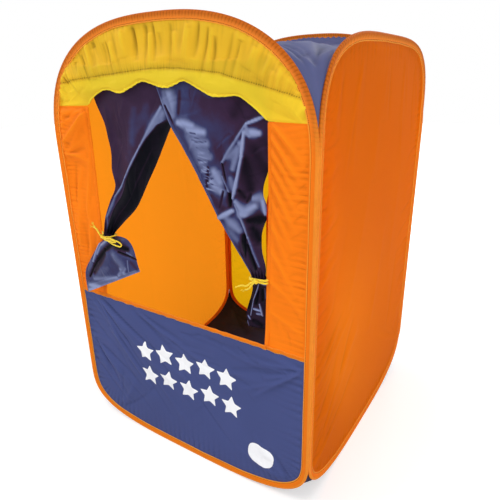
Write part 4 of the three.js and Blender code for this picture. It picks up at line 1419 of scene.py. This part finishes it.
def left_curtain(window):
    """Tied back through the window: a deep rolled fold down its inner edge, and a skirt outside."""
    t, s, flat, stand, waist, above, below = curtain_places(
        window, LEFT_OUTER, LEFT_INNER, THROUGH_OUT, rows=260, columns=130
    )
    # painted shade over the curtain's upper part, and a little painted light on the skirt, under the folds'
    # own painted shading
    high, high_shading = lay_folds(flat, LEFT_FOLDS, -0.2)
    low, low_shading = lay_folds(flat, LEFT_SKIRT, 0.1)
    header = smooth(t, 0.0, 0.08)
    out = stand + high * above * header + low * below
    out = out + 0.0060 * waist * np.cos(ROUND * 5.0 * s + 0.4)
    out = out + 0.0035 * above * np.cos(ROUND * (1.35 * s + 0.4 * t) + 0.5) * smooth(t, 0.0, 0.2)
    puff = np.sin(np.pi * s) * np.sin(np.pi * np.clip((t - WAIST) / (1 - WAIST), 0, 1) ** 0.8)
    out = out + below * 0.012 * puff
    fine = Creases(81)
    fine.scatter((-0.24, 0.62), (0.0, 0.93), 75, 60, 26, 0.11, 0.004, 0.0009)
    fine.scatter((-0.30, 0.41), (-0.10, 0.57), 60, 120, 22, 0.06, 0.003, 0.0008)
    out = out + fine.lift(flat[..., 0], flat[..., 1]) * (1 - waist) * header
    on_strip = (t > WAIST) & (flat[..., 0] < -window.half_window + 0.012)
    out = np.where(on_strip, np.maximum(out, ON_STRIP), out)
    row = t * LAST_ROW
    edge = np.interp(row, ROLL_ROWS, ROLL_SHARES)
    # the rolled inner edge is painted near-black shade, with a faint painted gleam down it
    roll = smooth(s, edge, edge + 0.035) * smooth(row, 1.4, 2.2) * above
    gleam = 0.5 * np.exp(-(((s - 0.5 * edge - 0.5) / 0.035) ** 2)) * smooth(row, 2.5, 4.0)
    out = out - 0.0040 * roll * np.sin(np.pi * np.clip((s - edge) / (1 - edge), 0, 1))
    high_shading = high_shading * (1 - roll) + (gleam - 1.3) * roll
    # painted shade at the tie's pinch
    tone = shading_of(out, 4, 0.0012) * 0.3 + high_shading * above + low_shading * below - 0.5 * waist
    return flat, out, np.where((t > HEM_FROM) & (low_shading > -0.6), tone + 0.25, tone)


def short_pleats():
    """Small slanting pleats down the middle of the right curtain."""
    draw = random.Random(83)
    for k in range(18):
        x, z = 62 + 2 * k + draw.uniform(-5, 12), 842 - 6.5 * k + draw.uniform(-2, 2)
        reach = draw.uniform(12, 34)
        ends = (x, z, x + reach, z + draw.uniform(-5, 3))
        # each with its stand-off and painted shading, mostly painted highlight
        yield (*ends, 1.6, *draw.choice(((-5, 38), (4, 88), (-4, 56))))


def right_curtain(window):
    """Tied back inside the window, crumpled all over, with its skirt behind the strip."""
    t, s, flat, stand, waist, above, below = curtain_places(
        window, RIGHT_OUTER, RIGHT_INNER, INSIDE_OUT, rows=260, columns=150
    )
    # painted shade, darker towards the curtain's outer side deep in the window
    plain = 0.04 - 0.30 * smooth(flat[..., 0], 0.13, 0.21)
    high, high_shading = lay_folds(flat, (*RIGHT_FOLDS, *short_pleats()), plain)
    # the skirt behind the strip is painted deep shade
    low, low_shading = lay_folds(flat, RIGHT_SKIRT, -0.8)
    out = stand + high * above * smooth(t, 0.0, 0.08) + low * below
    out = out + 0.0035 * waist * np.cos(ROUND * 5.0 * s + 1.1)
    fine = Creases(82)
    fine.scatter((0.0, 0.60), (0.25, 0.93), 60, 160, 60, 0.07, 0.003, 0.0010)
    fine.scatter((0.18, 0.43), (0.26, 0.55), 80, 40, 10, 0.06, 0.003, 0.0010)
    out = out + fine.lift(flat[..., 0], flat[..., 1]) * (1 - waist) * smooth(t, 0.0, 0.06)
    out = np.minimum(out, INSIDE)
    # painted shade at the tie's pinch
    tone = shading_of(out, 4, 0.0012) * 0.35 + high_shading * above + low_shading * below - 0.6 * waist
    hem = smooth(s, 0.93, 0.95) * above * smooth(t, 0.1, 0.16)
    return flat, out, tone + hem * np.clip(0.18 - tone, 0, 1)


CURTAIN_CUT = (0.30, 0.58)
HEADER_HALF = 0.0006
# up in fifths of its height, and out in halves of its thickness
HEADER_SECTION = ((0.0, 0.4), (0.2, 1.0), (1.6, 0.5), (3.0, 1.0), (4.8, 0.9), (5.0, 0.4))


class THEATRE_OT_curtains(Operator):
    """Hang the two satin curtains from the header tape and tie them back"""

    bl_idname = "theatre.curtains"
    bl_label = "Curtains"

    def execute(self, context):
        sizes, dyes, window = settings_of(context)
        shades = (dyes.satin, dyes.satin_plum, dyes.satin_deep, dyes.satin_shine)
        light = finish("curtain_satin", satin, *shades)
        for name, build in (("left", left_curtain), ("right", right_curtain)):
            flat, out, tone = build(window)
            grid = hang("front", sizes, flat, out)
            # shading: the curtain's painted shade and highlight
            piece = grid_piece(f"{name}_curtain_cloth", grid, light, {"tone": np.clip(tone, -1, 1)})
            settle(piece, "front", [f"{name}_curtain"])
            min(grid_area(grid), CURTAIN_CUT[0] * CURTAIN_CUT[1])
            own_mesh(piece)
        low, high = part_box("curtain_header")
        x = np.linspace(low[0], high[0], 170)[:, None]
        half = np.array(HEADER_SECTION)
        section = np.vstack([half, half[::-1] * (1, -1)])
        z = low[2] + section[:, 0][None] / 5 * (high[2] - low[2])
        y = (low[1] + high[1]) / 2 + section[:, 1][None] * HEADER_HALF
        grid = stack(x, y + 0.0001 * np.sin(x * 420) * np.sin(x * 133 + 1), z)
        header = make_piece("header_tape", grid, capped_faces(*grid.shape[:2]), light)
        settle(header, "front", ["curtain_header"])
        return {"FINISHED"}


# Cords

CORD = 0.0023
KNOT = 0.0038  # radius of the knot's turns
THREADS = 9  # at a frayed end
TIE_ROOM = 0.0052  # between a curtain's waist and the middle of its tie
TIE_DEPTH = {-1: 0.0140, 1: 0.0105}
KNOT_SHIFT = {-1: 0.011, 1: 0.0}
KNOT_TURNS = ((0.0, 1.0), (1.1, 0.85), (2.2, 0.95))  # angle and size
# Each cord's ends out of its knot, in millimetres: across, up, and out. Bows come back to the knot
LEFT_TAILS = (
    ((0, 0, 0), (-10, 6, 3), (-20, 12, 2), (-31, 20, -1), (-42, 24, 0)),
    ((0, 0, 1), (-9, 4, 4), (-17, 13, 5), (-27, 21, 3), (-37, 30, 2)),
    ((0, 0, 1), (12, 1, 5), (30, 3, 6), (46, 2, 4), (56, -4, 3), (52, -10, 4), (36, -8, 6), (18, -5, 4),
     (0, 0, 0)),
    ((0, 0, 2), (10, 4, 7), (24, 7, 8), (37, 5, 7), (40, 0, 6), (28, -1, 8), (12, -1, 6), (0, 0, 2)),
)
RIGHT_TAILS = (
    ((0, 0, 0), (-10, -4, 4), (-22, -14, 3), (-34, -16, 1), (-46, -22, 0)),
    ((0, 0, 1), (-8, -8, 3), (-16, -19, 2), (-28, -26, 0)),
)


def squared(wave, power):
    """A cosine or sine bent so that a circle drawn with it has fuller corners."""
    return np.sign(wave) * np.abs(wave) ** power


def frayed_end(path, draw):
    """Loose threads at a cord's cut end."""
    tip, way = path[-1], path[-1] - path[-4]
    way /= np.linalg.norm(way)
    for _ in range(THREADS):
        bend = np.array([draw.uniform(-0.5, 0.5) for _ in range(3)])
        far = tip + (way + bend) * draw.uniform(0.005, 0.008)
        yield tube(spline([tip - way * 0.002, tip + (way + bend * 0.6) * 0.003, far], 7), 0.00035, 5)


class THEATRE_OT_cords(Operator):
    """Tie the yellow cords round the curtains' waists"""

    bl_idname = "theatre.cords"
    bl_label = "Tie cords"

    def execute(self, context):
        sizes, dyes, window = settings_of(context)
        light = finish("cord_cotton", cord_finish, dyes.cord)
        for name, side, outer, inner, stands in (
            ("left", -1, LEFT_OUTER, LEFT_INNER, THROUGH_OUT),
            ("right", 1, RIGHT_OUTER, RIGHT_INNER, INSIDE_OUT),
        ):
            (ax, az), (bx, bz) = outer[WAIST_ROW], inner[WAIST_ROW]
            middle = ((ax + bx) / 2000, (az + bz) / 2000, stands[WAIST_ROW])
            wide, deep = abs(ax - bx) / 2000 + TIE_ROOM, TIE_DEPTH[side]
            front = deep + 2 * CORD + 0.0002
            knot_at = (middle[0] + KNOT_SHIFT[side], *middle[1:])
            for piece, node, parts in (
                ("tie_cord", "tie", self.rings(sizes, middle, wide, deep)),
                ("knot_and_tails", "tie_knot", self.knot(sizes, knot_at, front, side)),
                ("anchor_cord", "tie_anchor", self.anchor(sizes, window, knot_at, wide, side)),
            ):
                points, faces = gather_meshes(parts)
                made = make_piece(f"{name}_{piece}", points, faces, light)
                settle(made, "front", [f"{name}_{node}"])
        return {"FINISHED"}

    def room(self, sizes, middle, across, up, out):
        return on_wall("front", sizes.front_half, middle[0] + across, middle[1] + up, middle[2] + out)

    def rings(self, sizes, middle, wide, deep):
        """Two turns round the waist."""
        angle = np.linspace(0, ROUND, 90, endpoint=False)
        across, out = wide * squared(np.cos(angle), 0.55), deep * squared(np.sin(angle), 0.55)
        for lift, tilt in ((0.0020, 0.06), (-0.0022, -0.05)):
            path = self.room(sizes, middle, across, lift + tilt * across, out)
            yield tube(path, CORD, 10, 3, closed=True)

    def knot(self, sizes, middle, front, side):
        """The knot's turns, its bow and its tails."""
        a = np.linspace(0, ROUND, 40, endpoint=False)
        for turn, size in KNOT_TURNS:
            u, v, w = KNOT * size * np.cos(a), KNOT * size * np.sin(a), 0.0016 * np.sin(2 * a + turn)
            across = u * math.cos(turn) - w * math.sin(turn)
            out = u * math.sin(turn) + w * math.cos(turn)
            yield tube(self.room(sizes, middle, across, v, front + out), CORD * 0.85, 8, 3, closed=True)
        draw = random.Random(91 + side)
        for tail in LEFT_TAILS if side < 0 else RIGHT_TAILS:
            points = [self.room(sizes, middle, a / 1000, b / 1000, front + c / 1000) for a, b, c in tail]
            path = spline(points, 60)
            yield tube(path, CORD * 0.8, 8, 3, taper=0.002)
            if len(tail) < 6:
                yield from frayed_end(path, draw)

    def anchor(self, sizes, window, middle, wide, side):
        """From the ties to the window's edge, with a little slack."""
        hem, back = window_edge(window, side, middle[1])
        reach, back = hem - side * 0.001 - middle[0], back - middle[2]
        edge = side * (wide + CORD)
        sag = ((edge + reach) / 2, -0.0018, back * 0.45)
        route = ((edge - side * 0.001, 0, 0), sag, (reach, 0.0005, back - 0.001))
        yield tube(spline([self.room(sizes, middle, *place) for place in route], 40), CORD * 0.9, 10, 3)


# Ornament

STAR_ROWS = ((0.278, 5, 0.063, 0.010), (0.204, 5, 0.065, 0.019))  # height, count, pitch, middle
STAR_SIZE = 0.031
STAR_STAND = 0.0007
PATCH = ((0.234, 0.099), 0.032, -0.16, 0.0011)  # middle, size, turn, stand-off


def star_rim(points=5, steps=12, waist=0.5):
    """A plump star's rim about its middle, of radius 1 at its tips."""
    angle = QUARTER + np.arange(2 * points) * math.pi / points
    corners = stack(np.cos(angle), np.sin(angle)) * np.where(np.arange(2 * points) % 2, waist, 1)[:, None]
    t = (np.arange(steps) / steps)[:, None]
    rim = np.vstack([a * (1 - t) + b * t for a, b in zip(corners, np.roll(corners, -1, 0))])
    for _ in range(4):
        rim = (np.roll(rim, 1, 0) + 2 * rim + np.roll(rim, -1, 0)) / 4
    return rim


def printed_disc(rim, middle, size, turn, stand):
    """A flat printed shape that follows the navy panel's folds."""
    c, s = math.cos(turn), math.sin(turn)
    rim = stack(rim[:, 0] * c - rim[:, 1] * s, rim[:, 0] * s + rim[:, 1] * c)
    rings = np.linspace(0.06, 1, 12)[:, None]
    return np.array(middle) + size * rings[..., None] * rim[None], stand * (1 - 0.7 * (rings > 0.99))


class THEATRE_OT_ornament(Operator):
    """Print two rows of plain stars and sew a plain patch onto the navy panel"""

    bl_idname = "theatre.ornament"
    bl_label = "Stars and patch"

    def execute(self, context):
        sizes, dyes, _ = settings_of(context)
        ink = finish("white_print", print_finish, dyes.print_white)
        loop = wire_loop(sizes, "front")
        draw = random.Random(101)
        stars = []
        for height, count, pitch, middle in STAR_ROWS:
            for k in range(count):
                place = (middle + (k - (count - 1) / 2) * pitch, height + (0.003 if k % 2 else -0.003))
                turn, size = math.radians(draw.uniform(-9, 9)), STAR_SIZE * draw.uniform(0.96, 1.04)
                stars.append(printed_disc(star_rim(), place, size, turn, STAR_STAND))
        angle = np.linspace(0, ROUND, 96, endpoint=False)
        pebble = stack(1.12 * squared(np.cos(angle), 0.75), 0.84 * squared(np.sin(angle), 0.75))
        patches = [printed_disc(pebble, *PATCH)]
        for name, shapes in (("printed_stars", stars), ("plain_patch", patches)):
            parts = []
            for flat, stand in shapes:
                rows, columns = flat.shape[:2]
                points = hang("front", sizes, flat, lower_lift(loop, flat) + stand).reshape(-1, 3)
                faces = grid_faces(rows, columns, close_columns=True).tolist()
                parts.append((points, [*faces, list(range(columns))[::-1]]))
            points, faces = gather_meshes(parts)
            settle(make_piece(name, points, faces, ink), "front", [])
        return {"FINISHED"}


class THEATRE_OT_wires(Operator):
    """Give the sprung wires and their ferrules a drawn steel finish"""

    bl_idname = "theatre.wires"
    bl_label = "Wires"

    def execute(self, context):
        steel = finish("drawn_steel", steel_finish)
        for wall in ("front", "right", "left", "back"):
            for node in (f"{wall}_wire", f"{wall}_wire_ferrule"):
                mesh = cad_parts[node].data
                mesh.materials.clear()
                mesh.materials.append(steel)
        return {"FINISHED"}


# Stage

WHITE = (1.0, 1.0, 1.0, 1.0)
SENSOR = 36.0
LAMP_AIM = (0, 0, 0.5)
FLOOR_HALF = 9.0
FLOOR_AT = -0.0006
LAMPS = (  # name, place, size, and share of the key lamp's power
    ("key_lamp", (-2.4, -2.0, 2.6), 1.5, 1.0),
    ("fill_lamp", (2.6, -1.7, 1.9), 2.0, 0.78),
    ("back_lamp", (0.6, 2.6, 2.4), 1.8, 0.5),
)


class THEATRE_OT_stage(Operator):
    """Set the camera, the soft lamps and the pale floor"""

    bl_idname = "theatre.stage"
    bl_label = "Stage"

    def execute(self, context):
        scene, stage = context.scene, context.scene.theatre_stage
        scene.view_settings.view_transform = "Standard"
        camera = bpy.data.cameras.new("camera")
        camera.lens, camera.sensor_width = stage.camera_lens, SENSOR
        scene.camera = self.put(scene, "camera", camera, stage.camera_at, stage.camera_turn)
        self.light_world(scene, stage)
        for name, place, size, share in LAMPS:
            lamp = bpy.data.lights.new(name, "AREA")
            lamp.energy, lamp.size = stage.lamp_power * share, size
            x, y, z = np.array(LAMP_AIM) - place
            turn = (math.atan2(math.hypot(x, y), -z), 0, math.atan2(y, x) - QUARTER)
            self.put(scene, name, lamp, place, turn)
        self.lay_floor()
        return {"FINISHED"}

    def put(self, scene, name, data, place, turn):
        holder = bpy.data.objects.new(name, data)
        holder.location, holder.rotation_euler = place, turn
        scene.collection.objects.link(holder)
        return holder

    def light_world(self, scene, stage):
        """Even light, and white where the camera or a shiny surface looks past the floor."""
        make = Finish("studio", "worlds")
        ray = make.node("LightPath").outputs
        shiny = make.math("MAXIMUM", ray["Is Glossy Ray"], ray["Is Transmission Ray"])
        seen = make.math("MAXIMUM", ray["Is Camera Ray"], shiny)
        soft = make.node("Background", Color=WHITE, Strength=stage.world_level).outputs[0]
        white = make.node("Background", Color=WHITE).outputs[0]
        scene.world = make.close(make.node("MixShader", i0=seen, i1=soft, i2=white), "OutputWorld")

    def lay_floor(self):
        """A pale floor that the camera sees as white, apart from the theatre's shadow."""
        make = Finish("studio_floor")
        seen = make.node("LightPath").outputs["Is Camera Ray"]
        place = make.place()
        paint = make.blend(make.noise(place, 3.0), (0.84, 0.84, 0.84, 1), (0.88, 0.88, 0.88, 1))
        matt = make.node("BsdfDiffuse", Color=paint).outputs[0]
        far = make.node("VectorMath", {"operation": "LENGTH"}, i0=place).outputs["Value"]
        level = make.times(seen, make.span(far, 0.55, 1.5, 0.36, 1.0))
        glow = make.node("Emission", Color=WHITE, Strength=level).outputs[0]
        light = make.close(make.node("AddShader", i0=matt, i1=glow))
        edge = np.linspace(-1, 1, 9) * FLOOR_HALF
        x, y = np.meshgrid(edge, edge)
        grid_piece("studio_floor", stack(x, y, 0 * x + FLOOR_AT), light)


class THEATRE_PT_panel(Panel):
    """The theatre's pieces, in the order in which they are sewn"""

    bl_label = "Puppet Theatre"
    bl_space_type = "VIEW_3D"
    bl_region_type = "UI"
    bl_category = "Theatre"

    def draw(self, context):
        for step in STEPS:
            self.layout.operator(step.bl_idname)
        for group in ("theatre_loops", "theatre_cloth", "theatre_front", "theatre_stage"):
            settings = getattr(context.scene, group)
            box = self.layout.box()
            for key in settings.__annotations__:
                box.prop(settings, key)


STEPS = (
    THEATRE_OT_stage,
    THEATRE_OT_bindings,
    THEATRE_OT_side_walls,
    THEATRE_OT_back_wall,
    THEATRE_OT_front_wall,
    THEATRE_OT_valance,
    THEATRE_OT_liners,
    THEATRE_OT_curtains,
    THEATRE_OT_cords,
    THEATRE_OT_ornament,
    THEATRE_OT_wires,
)
GROUPS = {
    "theatre_loops": TheatreLoops,
    "theatre_cloth": TheatreCloth,
    "theatre_front": TheatreFront,
    "theatre_stage": TheatreStage,
}


def register():
    for kind in (*GROUPS.values(), *STEPS, THEATRE_PT_panel):
        bpy.utils.register_class(kind)
    for name, group in GROUPS.items():
        setattr(bpy.types.Scene, name, PointerProperty(type=group))


def unregister():
    for name in GROUPS:
        delattr(bpy.types.Scene, name)
    for kind in reversed((*GROUPS.values(), *STEPS, THEATRE_PT_panel)):
        bpy.utils.unregister_class(kind)


def main():
    register()
    bpy.ops.theatre.stage()
    bpy.ops.theatre.bindings()
    bpy.ops.theatre.side_walls()
    bpy.ops.theatre.back_wall()
    bpy.ops.theatre.front_wall()
    bpy.ops.theatre.valance()
    bpy.ops.theatre.liners()
    bpy.ops.theatre.curtains()
    bpy.ops.theatre.cords()
    bpy.ops.theatre.ornament()
    bpy.ops.theatre.wires()


if __name__ == "__main__":
    main()
